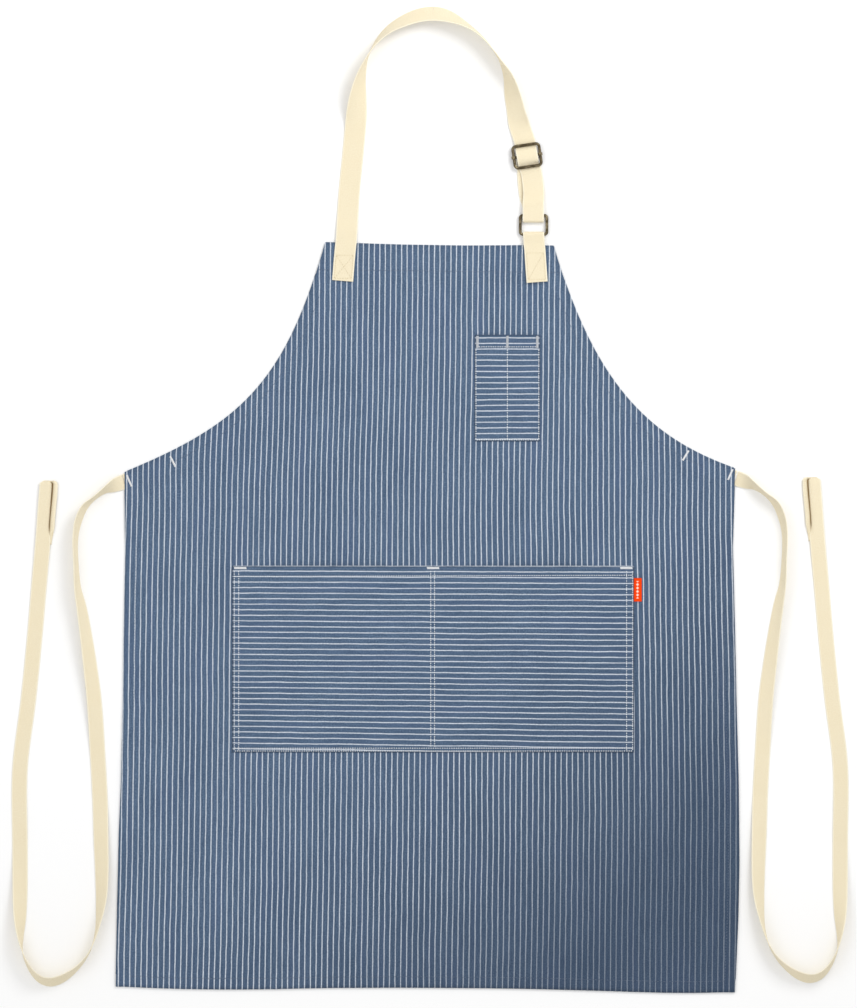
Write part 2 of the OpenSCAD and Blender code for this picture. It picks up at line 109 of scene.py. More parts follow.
def lie(u, v):
    """Garment coordinates, across and up from the waist, to the row frame."""
    u, v = np.asarray(u, float), np.asarray(v, float)
    wander = lookup(u, BOTTOM_WAVE) * (1 - smoothstep(-SKIRT_L, -SKIRT_L + 110, v))
    wander = wander + lookup(u, TOP_WAVE) * smoothstep(BIB_L - 60, BIB_L, v)
    return np.stack([u + lean(v), v + WAIST_Y + tilt(v) * u + wander], -1)


def armhole(side, t):
    """Garment coordinates along an armhole edge: t is 0 at the bib's corner and 1 at the waist corner."""
    drop = (58, -174) if side > 0 else (39, -160)
    reach = (-86, 32) if side > 0 else (-129, 52)
    a = np.array([BIB_W / 2, BIB_L])
    d = np.array([WAIST_W / 2, 0])
    b, c = a + drop, d + reach
    t = np.asarray(t, float)[:, None]
    p = (1 - t) ** 3 * a + 3 * (1 - t) ** 2 * t * b + 3 * (1 - t) * t * t * c + t ** 3 * d
    # Drawn in a little by its stitching
    p[:, 0] -= (1.1 if side > 0 else 0.8) * np.sin(math.pi * t[:, 0])
    return p * (side, 1)


RIGHT_BOW = [(-SKIRT_L, 1.1), (-510, 1.68), (-450, 1.8), (-360, 1.46), (-270, 0.8), (-180, 0.24), (-90, -0.4),
             (0, 0)]
LEFT_BOW = [(-SKIRT_L, 0.9), (-510, 0.72), (-420, 0.48), (-360, 0.1), (-270, -0.12), (-180, -0.16),
            (-90, -0.36), (0, 0)]


def side_u(side, v):
    """Half-width of the skirt: the sides draw in below the waist corners and belly out above the hem."""
    return WAIST_W / 2 + (HEM_W - WAIST_W) / 2 * lookup(v, RIGHT_BOW if side > 0 else LEFT_BOW)


def smoothstep(low, high, x):
    t = np.clip((np.asarray(x, float) - low) / (high - low), 0, 1)
    return t * t * (3 - 2 * t)


def hermite(knots, values, x):
    """A smooth curve through the values at the knots, in any number of dimensions."""
    knots, values, x = (np.asarray(a, float) for a in (knots, values, x))
    step = np.diff(knots)
    slope = np.diff(values, axis=0) / step.reshape(-1, *[1] * (values.ndim - 1))
    inner = (slope[1:] + slope[:-1]) / 2
    tangent = np.concatenate([slope[:1], inner, slope[-1:]])
    i = np.clip(np.searchsorted(knots, x) - 1, 0, len(step) - 1)
    shape = (-1, *[1] * (values.ndim - 1))
    h = step[i].reshape(shape)
    s = (x - knots[i]).reshape(shape) / h
    return ((2 * s ** 3 - 3 * s ** 2 + 1) * values[i] + (s ** 3 - 2 * s ** 2 + s) * h * tangent[i]
            + (3 * s ** 2 - 2 * s ** 3) * values[i + 1] + (s ** 3 - s ** 2) * h * tangent[i + 1])


def along(points):
    """Distance along a line of points."""
    steps = np.linalg.norm(np.diff(np.asarray(points, float)[:, :3], axis=0), axis=1)
    return np.concatenate([[0], np.cumsum(steps)])


def spline(points, spacing):
    """A smooth line through the points, resampled at that spacing. Columns past the second ride along."""
    points = np.asarray(points, float)
    knots = along(np.c_[points[:, :2], np.zeros(len(points))])
    fine = hermite(knots, points, np.linspace(0, knots[-1], 40 * len(points)))
    length = along(fine[:, :3] if fine.shape[1] > 2 else np.c_[fine, np.zeros(len(fine))])
    count = max(2, int(round(length[-1] / spacing)) + 1)
    at = np.linspace(0, length[-1], count)
    return np.stack([np.interp(at, length, fine[:, k]) for k in range(fine.shape[1])], -1)


def unit(v):
    return v / np.maximum(np.linalg.norm(v, axis=-1, keepdims=True), 1e-9)


# ---------------------------------------------------------------- meshes

def new_object(name, verts, faces, material, smooth=True):
    """A mesh object from points in mm."""
    mesh = bpy.data.meshes.new(name)
    mesh.from_pydata((np.asarray(verts) * MM).tolist(), [], [list(map(int, f)) for f in faces])
    mesh.polygons.foreach_set("use_smooth", [smooth] * len(mesh.polygons))
    mesh.materials.append(material)
    mesh.update()
    obj = bpy.data.objects.new(name, mesh)
    bpy.context.scene.collection.objects.link(obj)
    return obj


def give(obj, name, values):
    """A per-point attribute that the materials read: numbers, or vectors of three."""
    values = np.asarray(values, np.float32)
    kind = "FLOAT" if values.ndim == 1 else "FLOAT_VECTOR"
    attribute = obj.data.attributes.new(name, kind, "POINT")
    attribute.data.foreach_set("value" if values.ndim == 1 else "vector", values.ravel())


def grid_faces(rows, cols):
    i = np.arange(rows - 1)[:, None] * cols + np.arange(cols - 1)[None, :]
    return np.stack([i, i + cols, i + cols + 1, i + 1], -1).reshape(-1, 4)


def swept_faces(rings, count):
    """Walls between rings of points, then the two caps, for a section that runs counter-clockwise."""
    start = np.arange(rings - 1)[:, None] * count
    i, j = start + np.arange(count), start + (np.arange(count) + 1) % count
    walls = np.stack([i, j, j + count, i + count], -1).reshape(-1, 4)
    caps = [list(range(count))[::-1], list(range((rings - 1) * count, rings * count))]
    return walls.tolist() + caps


def sharpen_caps(obj, count, rings):
    """Keeps the shading of a swept piece's two ends apart from its walls'."""
    last = (rings - 1) * count
    ends = [all(v < count for v in e.vertices) or all(v >= last for v in e.vertices) for e in obj.data.edges]
    sharp = obj.data.attributes.new("sharp_edge", "BOOLEAN", "EDGE")
    sharp.data.foreach_set("value", ends)


def thicken(obj, thickness, offset):
    """Real thickness for a sheet, and its edge."""
    solid = obj.modifiers.new("thickness", "SOLIDIFY")
    solid.thickness = thickness * MM
    solid.offset = offset
    solid.use_even_offset = False
    return obj


def placed(obj, body, slot, *nodes):
    """Rides on the body and stands for the CAD nodes; the slot is not used."""
    if body:
        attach(obj, body)
    if nodes:
        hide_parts(*nodes)
    return obj


# ---------------------------------------------------------------- material helpers

class Nodes:
    """Short calls for building a material's node tree."""

    def __init__(self, name):
        self.material = bpy.data.materials.new(name)
        self.material.use_nodes = True
        self.tree = self.material.node_tree
        self.shader = self.tree.nodes["Principled BSDF"]

    def add(self, kind, **settings):
        node = self.tree.nodes.new(kind)
        for key, value in settings.items():
            setattr(node, key, value)
        return node

    def link(self, value, socket):
        if isinstance(value, bpy.types.NodeSocket):
            self.tree.links.new(value, socket)
        else:
            socket.default_value = value

    def attribute(self, name, output="Vector"):
        return self.add("ShaderNodeAttribute", attribute_name=name).outputs[output]

    def split(self, vector):
        node = self.add("ShaderNodeSeparateXYZ")
        self.link(vector, node.inputs[0])
        return node.outputs[0], node.outputs[1], node.outputs[2]

    def join(self, x, y, z=0.0):
        node = self.add("ShaderNodeCombineXYZ")
        for value, socket in zip((x, y, z), node.inputs):
            self.link(value, socket)
        return node.outputs[0]

    def math(self, operation, a, b=0.0):
        node = self.add("ShaderNodeMath", operation=operation)
        for value, socket in zip((a, b), node.inputs):
            self.link(value, socket)
        return node.outputs[0]

    def times(self, a, b):
        return self.math("MULTIPLY", a, b)

    def plus(self, a, b):
        return self.math("ADD", a, b)

    def minus(self, a, b):
        return self.math("SUBTRACT", a, b)

    def swing(self, noise, reach):
        """Noise of 0 to 1 as a shift to either side."""
        return self.times(self.minus(noise, 0.5), reach)

    def sine(self, a):
        return self.math("SINE", a)

    def absolute(self, a):
        return self.math("ABSOLUTE", a)

    def fraction(self, a):
        return self.math("FRACT", a)

    def pingpong(self, a, b):
        return self.math("PINGPONG", a, b)

    def place(self, across, length, across_scale, length_scale, layer=0.0):
        return self.join(self.times(across, across_scale), self.times(length, length_scale), layer)

    def wire(self, socket, value):
        self.link(value, self.shader.inputs[socket])

    def numbers(self, **values):
        """Plain numbers for the shader's sockets, named with _ for a space."""
        for key, value in values.items():
            self.shader.inputs[key.replace("_", " ")].default_value = value

    def ramp(self, value, low, high, to_low=0.0, to_high=1.0):
        node = self.add("ShaderNodeMapRange", interpolation_type="SMOOTHSTEP")
        for key, number in zip(("Value", "From Min", "From Max", "To Min", "To Max"),
                               (value, low, high, to_low, to_high)):
            self.link(number, node.inputs[key])
        return node.outputs["Result"]

    def noise(self, vector, scale=1.0, detail=2.0, roughness=0.5, output="Fac"):
        node = self.add("ShaderNodeTexNoise")
        self.link(vector, node.inputs["Vector"])
        node.inputs["Scale"].default_value = scale
        node.inputs["Detail"].default_value = detail
        node.inputs["Roughness"].default_value = roughness
        return node.outputs[output]

    def mix(self, factor, a, b):
        node = self.add("ShaderNodeMix", data_type="RGBA")
        self.link(factor, node.inputs[0])
        self.link(a, node.inputs[6])
        self.link(b, node.inputs[7])
        return node.outputs[2]

    def bump(self, height, distance, strength):
        node = self.add("ShaderNodeBump")
        self.link(height, node.inputs["Height"])
        node.inputs["Distance"].default_value = distance
        node.inputs["Strength"].default_value = strength
        return node.outputs["Normal"]


def rgb(red, green, blue):
    """Linear colour from display values of 0 to 255."""
    linear = [((c / 255 + 0.055) / 1.055) ** 2.4 if c > 10 else c / 3295 for c in (red, green, blue)]
    return (*linear, 1)


STRIPE_PITCH_MM = 6.4


def cloth_material(name):
    """Striped cotton: "weave" holds the stripe count across and metres along, and the darkening attribute how
    much darker the cloth is, painted shade along the pockets' edges included.
    """
    n = Nodes(name)
    across, length, _ = n.split(n.attribute("weave"))
    darkening_and_painted_shade = n.attribute("darkening_and_painted_shade", "Fac")
    # Slightly uneven yarn makes the stripes waver
    waver = n.noise(n.place(across, length, 0.9, 60), 1.0, 3.0)
    slow = n.noise(n.place(across, length, 0.08, 13), 1.0, 1.0)
    place = n.plus(across, n.swing(waver, 0.16))
    place = n.plus(place, n.swing(slow, 0.22))
    off_centre = n.absolute(n.minus(n.fraction(n.plus(place, 0.5)), 0.5))
    stripe = n.ramp(off_centre, 0.07, 0.12, 1.0, 0.0)
    slubs = n.noise(n.place(across, length, 6.0, 520), 1.0, 2.0, 0.6)
    stripe = n.times(stripe, n.ramp(slubs, 0.3, 0.6, 0.62, 1.0))
    wear_and_painted_shade = n.noise(n.place(across, length, 1.1, 16, 9.0), 1.0, 2.0)
    stripe = n.times(stripe, n.ramp(wear_and_painted_shade, 0.3, 0.55, 0.78, 1.0))
    # Dimmer stripes where the cloth is darker, including the painted shade along the pockets' edges
    stripe = n.times(stripe, n.ramp(darkening_and_painted_shade, 0.3, 1.15, 1.0, 0.22))
    # Yarn-dyed ground: ribs and fine streaks along the yarns, and broad drifts of tint
    rib_place = n.plus(across, n.swing(waver, 0.3))
    ribs = n.sine(n.times(rib_place, 8 * math.pi))
    streaks = n.noise(n.place(across, length, 5.0, 42), 1.0, 3.0, 0.65)
    grain = n.noise(n.place(across, length, 4.6, 620), 1.0, 2.0, 0.65)
    specks = n.noise(n.place(across, length, 15, 1400), 1.0, 2.0, 0.7)
    drift = n.noise(n.place(across, length, 0.12, 12), 1.0, 2.0)
    tint = n.noise(n.place(across, length, 0.5, 8, 4.0), 1.0, 2.0)
    ground = n.mix(n.ramp(streaks, 0.3, 0.7), rgb(57, 79, 106), rgb(85, 108, 135))
    # Each layer: its mask, where the mask starts and ends, its share at both, and its colour
    for mask, low, high, share_low, share_high, layer in (
            (ribs, -1.0, 0.7, 0.38, 0.0, rgb(50, 70, 96)), (grain, 0.42, 0.72, 0.0, 0.5, rgb(122, 142, 165)),
            (grain, 0.48, 0.28, 0.0, 0.45, rgb(48, 66, 92)), (tint, 0.45, 0.7, 0.0, 0.3, rgb(78, 96, 132)),
            (specks, 0.35, 0.75, 0.0, 0.25, rgb(112, 130, 154)),
            (drift, 0.3, 0.75, 0.0, 0.28, rgb(58, 78, 104))):
        ground = n.mix(n.ramp(mask, low, high, share_low, share_high), ground, layer)
    # Darker ground by the same attribute: partly painted shade, along the pockets' edges
    darker = n.mix(n.times(darkening_and_painted_shade, 0.55), ground, rgb(38, 50, 68))
    colour = n.mix(stripe, darker, rgb(207, 214, 224))
    n.wire("Base Color", colour)
    # Warp and weft, 0.7 mm apart
    warp = n.sine(n.times(across, 2 * math.pi * STRIPE_PITCH_MM / 0.7))
    weft = n.sine(n.times(length, 2 * math.pi / 0.0007))
    weave = n.plus(n.times(n.times(warp, weft), 0.5), specks)
    height = n.plus(weave, n.times(stripe, 0.7))
    height = n.plus(height, n.times(ribs, 0.4))
    n.wire("Normal", n.bump(height, 0.00012, 0.7))
    n.wire("Roughness", n.ramp(specks, 0.3, 0.8, 0.92, 0.78))
    n.numbers(Sheen_Weight=0.08, Sheen_Roughness=0.5, Specular_IOR_Level=0.2)
    return n.material


def webbing_material(name, half_width):
    """Cream cotton webbing: "weave" holds metres across from the middle and metres along."""
    n = Nodes(name)
    across, length, _ = n.split(n.attribute("weave"))
    # Herringbone: the twill turns over in columns 4 mm wide
    column = n.pingpong(across, 0.004)
    twill = n.sine(n.times(n.plus(column, length), 2 * math.pi / 0.0015))
    picks = n.sine(n.times(length, 2 * math.pi / 0.0008))
    fuzz = n.noise(n.join(across, length), 900, 3.0, 0.65)
    drift = n.noise(n.join(across, length), 28, 2.0)
    selvage = n.ramp(n.absolute(across), half_width - 0.0016, half_width - 0.0009)
    colour = n.mix(n.ramp(fuzz, 0.3, 0.75), rgb(232, 218, 186), rgb(246, 237, 211))
    colour = n.mix(n.ramp(drift, 0.35, 0.7, 0.0, 0.4), colour, rgb(238, 225, 193))
    colour = n.mix(n.ramp(twill, -0.9, 0.2, 0.22, 0.0), colour, rgb(214, 197, 160))
    colour = n.mix(n.times(selvage, 0.6), colour, rgb(250, 244, 224))
    # Painted shade: dark brown laid into the tie end's slit between its plies
    colour = n.mix(n.attribute("slit_painted_shade", "Fac"), colour, rgb(142, 116, 74))
    n.wire("Base Color", colour)
    height = n.plus(n.times(twill, 0.6), n.times(picks, 0.3))
    height = n.plus(height, fuzz)
    n.wire("Normal", n.bump(height, 0.00016, 0.8))
    n.wire("Roughness", n.ramp(fuzz, 0.3, 0.8, 0.95, 0.82))
    n.numbers(Sheen_Weight=0.15, Sheen_Roughness=0.45, Specular_IOR_Level=0.25)
    return n.material


def brass_material(name):
    """Darkened brass wire, rubbed brighter in patches."""
    n = Nodes(name)
    place = n.add("ShaderNodeTexCoord").outputs["Object"]
    patches = n.noise(place, 260, 3.0, 0.6)
    specks = n.noise(place, 1900, 2.0, 0.7)
    scratches = n.noise(place, 4200, 1.0)
    colour = n.mix(n.ramp(patches, 0.38, 0.66), rgb(84, 74, 56), rgb(142, 130, 104))
    colour = n.mix(n.ramp(specks, 0.5, 0.72, 0.0, 0.7), colour, rgb(52, 45, 34))
    n.wire("Base Color", colour)
    n.numbers(Metallic=1.0)
    n.wire("Roughness", n.ramp(patches, 0.3, 0.7, 0.46, 0.26))
    height = n.plus(specks, n.times(scratches, 0.5))
    n.wire("Normal", n.bump(height, 0.00006, 0.6))
    return n.material


def thread_material(name, light, dark):
    """Twisted thread: "weave" holds metres round and metres along."""
    n = Nodes(name)
    round_it, length, _ = n.split(n.attribute("weave"))
    twist = n.sine(n.times(n.plus(round_it, length), 2 * math.pi / 0.0006))
    fuzz = n.noise(n.join(round_it, length), 2500, 2.0, 0.6)
    colour = n.mix(n.ramp(fuzz, 0.3, 0.7), light, dark)
    n.wire("Base Color", n.mix(n.ramp(twist, -1.0, 0.0, 0.35, 0.0), colour, dark))
    n.wire("Normal", n.bump(n.plus(twist, fuzz), 0.00008, 0.7))
    n.wire("Roughness", n.ramp(fuzz, 0.3, 0.8, 0.8, 0.6))
    n.numbers(Sheen_Weight=0.2, Specular_IOR_Level=0.3)
    return n.material


def label_material(name):
    """Orange-red woven label with a plain row of small white lozenges down its middle."""
    n = Nodes(name)
    across, length, _ = n.split(n.attribute("weave"))
    ribs = n.sine(n.times(length, 2 * math.pi / 0.0005))
    fuzz = n.noise(n.join(across, length), 2200, 2.0, 0.6)
    colour = n.mix(n.ramp(fuzz, 0.3, 0.7), rgb(255, 74, 0), rgb(240, 60, 0))
    step = n.absolute(n.minus(n.fraction(n.times(length, 250)), 0.5))
    spread = n.plus(n.times(n.absolute(across), 420), n.times(step, 1.7))
    inside = n.ramp(n.absolute(length), 0.0098, 0.0102, 1.0, 0.0)
    mark = n.times(n.ramp(spread, 0.62, 0.82, 1.0, 0.0), inside)
    n.wire("Base Color", n.mix(n.times(mark, 0.85), colour, rgb(255, 232, 214)))
    n.wire("Normal", n.bump(n.plus(ribs, fuzz), 0.00008, 0.6))
    n.wire("Roughness", n.ramp(fuzz, 0.3, 0.8, 0.85, 0.7))
    n.numbers(Specular_IOR_Level=0.12)
    return n.material


CLOTH = cloth_material("striped_cloth")
NECK_WEB = webbing_material("neck_webbing", STRAP_W / 2 * MM)
TIE_WEB = webbing_material("tie_webbing", TIE_W / 2 * MM)
BRASS = brass_material("antique_brass")
PALE_THREAD = thread_material("pale_thread", rgb(248, 249, 250), rgb(224, 228, 233))
BLUE_THREAD = thread_material("blue_thread", rgb(112, 126, 148), rgb(82, 96, 120))
CREAM_THREAD = thread_material("cream_thread", rgb(240, 228, 198), rgb(208, 191, 152))
WHITE_THREAD = thread_material("white_thread", rgb(250, 250, 248), rgb(220, 223, 228))
GREY_THREAD = thread_material("grey_thread", rgb(208, 210, 213), rgb(176, 180, 188))
LABEL = label_material("label_cloth")


# ---------------------------------------------------------------- webbing

def web_section(width):
    """Half-round selvages and a flat middle, counter-clockwise from the right edge."""
    w, t = width / 2, WEB_T / 2
    top = [(w, 0), (w - 0.2, 0.62 * t), (w - 0.7, 0.95 * t), (w - 1.6, 0.9 * t), (w * 0.5, t), (0, t)]
    top += [(-x, z) for x, z in reversed(top[:-1])]
    return np.array(top + [(-x, -z) for x, z in top[1:-1]])


def ribbon(name, centres, across, width, material, start=0.0, curl=None, narrow=None):
    """Webbing swept along the centres, its width along the across vectors.

    curl bends one selvage down, on the side of its sign; narrow scales the width. Both go ring by ring.
    """
    centres, across = np.asarray(centres, float), unit(np.asarray(across, float))
    forward = unit(np.gradient(centres, axis=0))
    across = unit(across - forward * np.sum(across * forward, -1, keepdims=True))
    up = np.cross(across, forward)
    section = web_section(width)
    count, rings = len(section), len(centres)
    x = np.zeros((rings, 1)) + section[None, :, 0]
    z = np.zeros((rings, 1)) + section[None, :, 1]
    if curl is not None:
        side, amount = np.sign(curl)[:, None], np.abs(curl)[:, None]
        excess = np.maximum(x * side - 5.0, 0)
        x, z = x - side * excess * 0.84 * amount, z - 0.38 * excess * amount
    if narrow is not None:
        x = x * narrow[:, None]
    verts = centres[:, None] + across[:, None] * x[..., None] + up[:, None] * z[..., None]
    obj = new_object(name, verts.reshape(-1, 3), swept_faces(rings, count), material)
    sharpen_caps(obj, count, rings)
    length = (start + along(centres))[:, None] + np.zeros(count)[None, :]
    weave = np.stack([np.zeros((rings, count)) + section[None, :, 0], length, 0 * length], -1)
    give(obj, "weave", weave.reshape(-1, 3) * MM)
    return obj


def lay_route(route, width, spacing=3.0):
    """Centres and across vectors of webbing laid along x, y, lowest z and roll, which lifts its left edge."""
    line = spline(route, spacing)
    forward = unit(np.gradient(line[:, :2], axis=0))
    right = np.c_[forward[:, 1], -forward[:, 0], np.zeros(len(line))]
    roll = np.radians(line[:, 3])[:, None]
    across = right * np.cos(roll) - np.array([0, 0, 1]) * np.sin(roll)
    lift = width / 2 * np.abs(np.sin(roll)) + WEB_T / 2 * np.abs(np.cos(roll))
    return np.c_[line[:, :2], line[:, 2] + lift[:, 0]], across


# ---------------------------------------------------------------- ties

LEFT_TIE_ROUTE = [
    (-349, 21, 0.1, 0), (-360, 17, 0.1, -30), (-368, 13, 0, -60), (-382, 3, 0, -77), (-394, -8, 0, -66),
    (-401, -23, 0, -63), (-404.5, -41, 0, -70), (-404, -74, 0, -73), (-402, -102, 0, -65),
    (-398, -122, 0, -52), (-392, -160, 0, -38), (-387, -198, 0, -25), (-383.5, -228, 0, -16),
    (-379, -298, 0, 0), (-376.6, -343, 0, 0), (-375.4, -388, 0, 12), (-374.3, -434, 0, 29),
    (-375, -460, 0, 45), (-379.5, -492, 0, 76), (-384.5, -510, 0, 88), (-392, -525, 0, 96),
    (-401, -536, 0, 104), (-411, -544.5, 0, 114), (-422, -551, 0, 124), (-433, -554, 0, 128),
    (-443, -552, 0, 122), (-452, -545, 0, 112), (-460, -533, 0, 102), (-465.5, -519, 0, 92),
    (-468, -500, 0, 66), (-468.5, -478, 0, 36), (-468.5, -445, 0, 12), (-468.6, -400, 0, 0),
    (-468.6, -309, 0, 0), (-459, -230, 0, 0), (-452, -160, 0, 0), (-446, -90, 0.4, 0),
    (-442.6, -52, 1.2, 0), (-438.7, 0, 1.7, 0), (-437.1, 22, 1.8, 0),
]
RIGHT_TIE_SHIFT = (6, 4)
TIE_TAIL_L = 72
TIE_TOP_ROUND = 4.5
# The turned-back ply's section, out from the tie's centre: it curls up beside the front ply, leaving a slit
TAIL_OPEN = np.array([(-6, 0.6), (0, 0.6), (4.2, 0.6), (6.0, 0.65), (6.8, 1.2), (7.1, 2.4), (7.9, 3.4),
                      (9.4, 3.7), (11.2, 3.0), (12.1, 1.6)])
# Painted shade: how strongly each point of the open section is darkened, on the walls of the slit between the
# plies
TAIL_PAINTED_SHADE = np.array([0, 0, 1, 1, 1, 1, 0.25, 0, 0, 0])
TAIL_CLOSED = np.array([(-6, 0.6), (-2, 0.6), (1, 0.6), (3.5, 0.6), (5.2, 0.6), (6.4, 0.6), (7.4, 0.65),
                        (8.4, 0.7), (9.2, 0.7), (9.8, 0.6)])


def mirrored(route):
    """The right tie's route from the left one's."""
    dx, dy = RIGHT_TIE_SHIFT
    return [(dx - p[0], p[1] + dy, p[2], -p[3]) for p in route]


def rounding(distance, half_width, radius=TIE_TOP_ROUND):
    """The share of its width that a strap with rounded corners keeps near its end."""
    d = np.clip(np.asarray(distance, float), 0, radius)
    return (half_width - radius + np.sqrt(np.maximum(radius ** 2 - (radius - d) ** 2, 0))) / half_width


def make_tie_tail(name, route, sign):
    """The end turned back under the tie and sewn: the slit between the plies shows beside the front one,
    darkened with painted shade.
    """
    top, below = np.array(route[-1][:2], float), np.array(route[-3][:2], float)
    down = unit(below - top)
    side = sign * np.array([-down[1], down[0]])
    run = np.concatenate([np.linspace(0, 6, 9), np.linspace(7.5, TIE_TAIL_L + 1, 34)])
    verts, weave, slit_painted_shade = [], [], []
    for d in run:
        closed = float(smoothstep(50, 70, d))
        # Painted shade in the slit, fading in over the first 3 mm from the top and out where the end closes
        slit_painted_shade += (TAIL_PAINTED_SHADE * (1 - closed) * float(smoothstep(0, 3, d))).tolist()
        section = TAIL_OPEN * (1 - closed) + TAIL_CLOSED * closed
        keep = float(rounding(d, 9))
        for x, z in section:
            x = 3 + (x - 3) * keep
            flat = top + down * (d - 0.3) + side * (x + 0.25 * math.sin(d / 9))
            lift = z + 0.35 * (1 - min(d / 5, 1)) ** 2
            verts.append((*flat, lift))
            weave.append((x - 3, d, 0))
    obj = new_object(name, verts, grid_faces(len(run), len(TAIL_OPEN)), TIE_WEB)
    if sign < 0:
        obj.data.flip_normals()
    give(obj, "weave", np.array(weave) * MM)
    give(obj, "slit_painted_shade", slit_painted_shade)
    return thicken(obj, WEB_T * 0.9, 0)


def make_tie(side, route, sign):
    name = f"{side}_tie"
    centres, across = lay_route(route, TIE_W)
    run = along(centres)
    to_end = run[-1] - run
    curl = sign * (1 - smoothstep(52, 72, to_end))
    centres[:, 2] -= 0.55 * (1 - np.clip(to_end / 5, 0, 1)) ** 2
    tie = ribbon(name, centres, across, TIE_W, TIE_WEB, curl=curl, narrow=rounding(to_end, TIE_W / 2))
    tail = make_tie_tail(f"{side}_tie_end", route, sign)
    placed(tie, "apron", "webbing", f"{side}_tie")
    placed(tail, "apron", "webbing", f"{side}_tie_end")


make_tie("left", LEFT_TIE_ROUTE, 1)
make_tie("right", mirrored(LEFT_TIE_ROUTE), -1)


# ---------------------------------------------------------------- cloth lying on the floor

def panel_edge_points(step=4.0):
    """The outline as one closed line in the row frame, from the bib's right corner clockwise."""
    right = armhole(1, np.linspace(0, 1, 110))
    left = armhole(-1, np.linspace(0, 1, 110))
    v = np.linspace(0, -SKIRT_L, int(SKIRT_L / step))
    right_side = np.c_[side_u(1, v), v]
    left_side = np.c_[-side_u(-1, v), v]
    bottom = np.c_[np.linspace(side_u(1, -SKIRT_L), -side_u(-1, -SKIRT_L), 100), np.full(100, -SKIRT_L)]
    top = np.c_[np.linspace(-BIB_W / 2, BIB_W / 2, 60), np.full(60, BIB_L)]
    parts = [right, right_side[1:], bottom[1:], left_side[::-1][1:], left[::-1][1:], top[1:]]
    return lie(*np.concatenate(parts).T)


EDGE = panel_edge_points()


def segment_distance(points, a, b):
    """How far each point is from the straight line between a and b."""
    d = b - a
    t = np.clip((points - a) @ d / max(d @ d, 1e-9), 0, 1)
    return np.linalg.norm(points - a - t[:, None] * d, axis=1)


def edge_distance(points):
    """How far inside the outline each point is."""
    points = np.asarray(points, float)
    best = np.full(len(points), 1e9)
    for a, b in zip(EDGE[:-1], EDGE[1:]):
        best = np.minimum(best, segment_distance(points, a, b))
    return best


HEM_SEAM = HEM_D - 1.6
TOP_HEM_Y = WAIST_Y + BIB_L - TOP_HEM_D
ANCHOR_OUT, ANCHOR_IN = (WAIST_W / 2 - 0.5, -10.8), (WAIST_W / 2 - 55, 12)


def anchor_ends(side):
    return [lie(side * u, v) for u, v in (ANCHOR_OUT, ANCHOR_IN)]


def anchor_distance(points):
    """How far each point is from the middle line of the nearer tie anchor."""
    best = np.full(len(points), 1e9)
    for side in (-1, 1):
        best = np.minimum(best, segment_distance(points, *anchor_ends(side)))
    return best


def cloth_height(points):
    """Height of the panel's front face: on its hems at the edges, and nearly on the floor inside."""
    points = np.asarray(points, float)
    x, y = points[:, 0], points[:, 1]
    d = edge_distance(points)
    hem = 3 * PLY
    inside = 1.15 + 0.28 * np.sin(x / 47 + 0.8 * np.sin(y / 90)) * np.sin(y / 71 + 1.3)
    inside += 0.18 * np.sin((x + 0.6 * y) / 31) * np.sin((x - 1.4 * y) / 83 + 2)
    under_top = smoothstep(TOP_HEM_Y - 9, TOP_HEM_Y - 1, y - tilt(BIB_L) * x)
    near = np.maximum(1 - smoothstep(HEM_D - 1.5, HEM_D + 7, d), under_top)
    pucker = 0.16 * np.sin((x + y) / 3.1) * np.sin((x - y) / 4.3)
    seam = np.exp(-((d - HEM_SEAM) / 1.1) ** 2)
    inside += 1.05 * (1 - smoothstep(TIE_W / 2 + 1, TIE_W / 2 + 8, anchor_distance(points)))
    return inside * (1 - near) + hem * near + pucker * near * 0.5 - 0.22 * seam * (1 - under_top)


def stripe_place(x, y):
    """Stripe count across the panel: the stripes fan out and lean a little, as the cloth does."""
    rows = [-600, -529, -345, -69, 23, 130, 240, 310]
    middle = hermite(rows, [7.5, 8.6, 11.0, 10.8, 10.9, 12.9, 14.5, 15.2], y)
    pitch = hermite(rows, [6.51, 6.51, 6.49, 6.41, 6.35, 6.31, 6.28, 6.28], y)
    # Where the cloth is pulled askew: centre, spread and sideways shift of each place
    for at_x, at_y, wide, tall, shift in (
            (313, 34, 80, 40, 2.2), (-300, 46, 42, 32, -2.4), (-325, -400, 85, 170, 1.1),
            (-90, 268, 150, 50, -0.7), (310, -170, 50, 120, -0.7), (120, -20, 70, 50, -0.5),
            (-150, -330, 260, 40, -0.4)):
        middle = middle + shift * np.exp(-((x - at_x) / wide) ** 2 / 2 - ((y - at_y) / tall) ** 2 / 2)
    return (x - middle) / pitch


def darkening_at(x, y):
    """A little darker low down, and darkest in the lower right corner."""
    toward_corner = 0.5 * x / 330 - 0.9 * y / 520
    steps = [-2, -0.1, 0.45, 0.64, 0.85, 1.1, 1.22, 1.38, 1.6]
    return hermite(steps, [0, 0.02, 0.13, 0.34, 0.6, 0.88, 0.97, 1, 1], toward_corner)


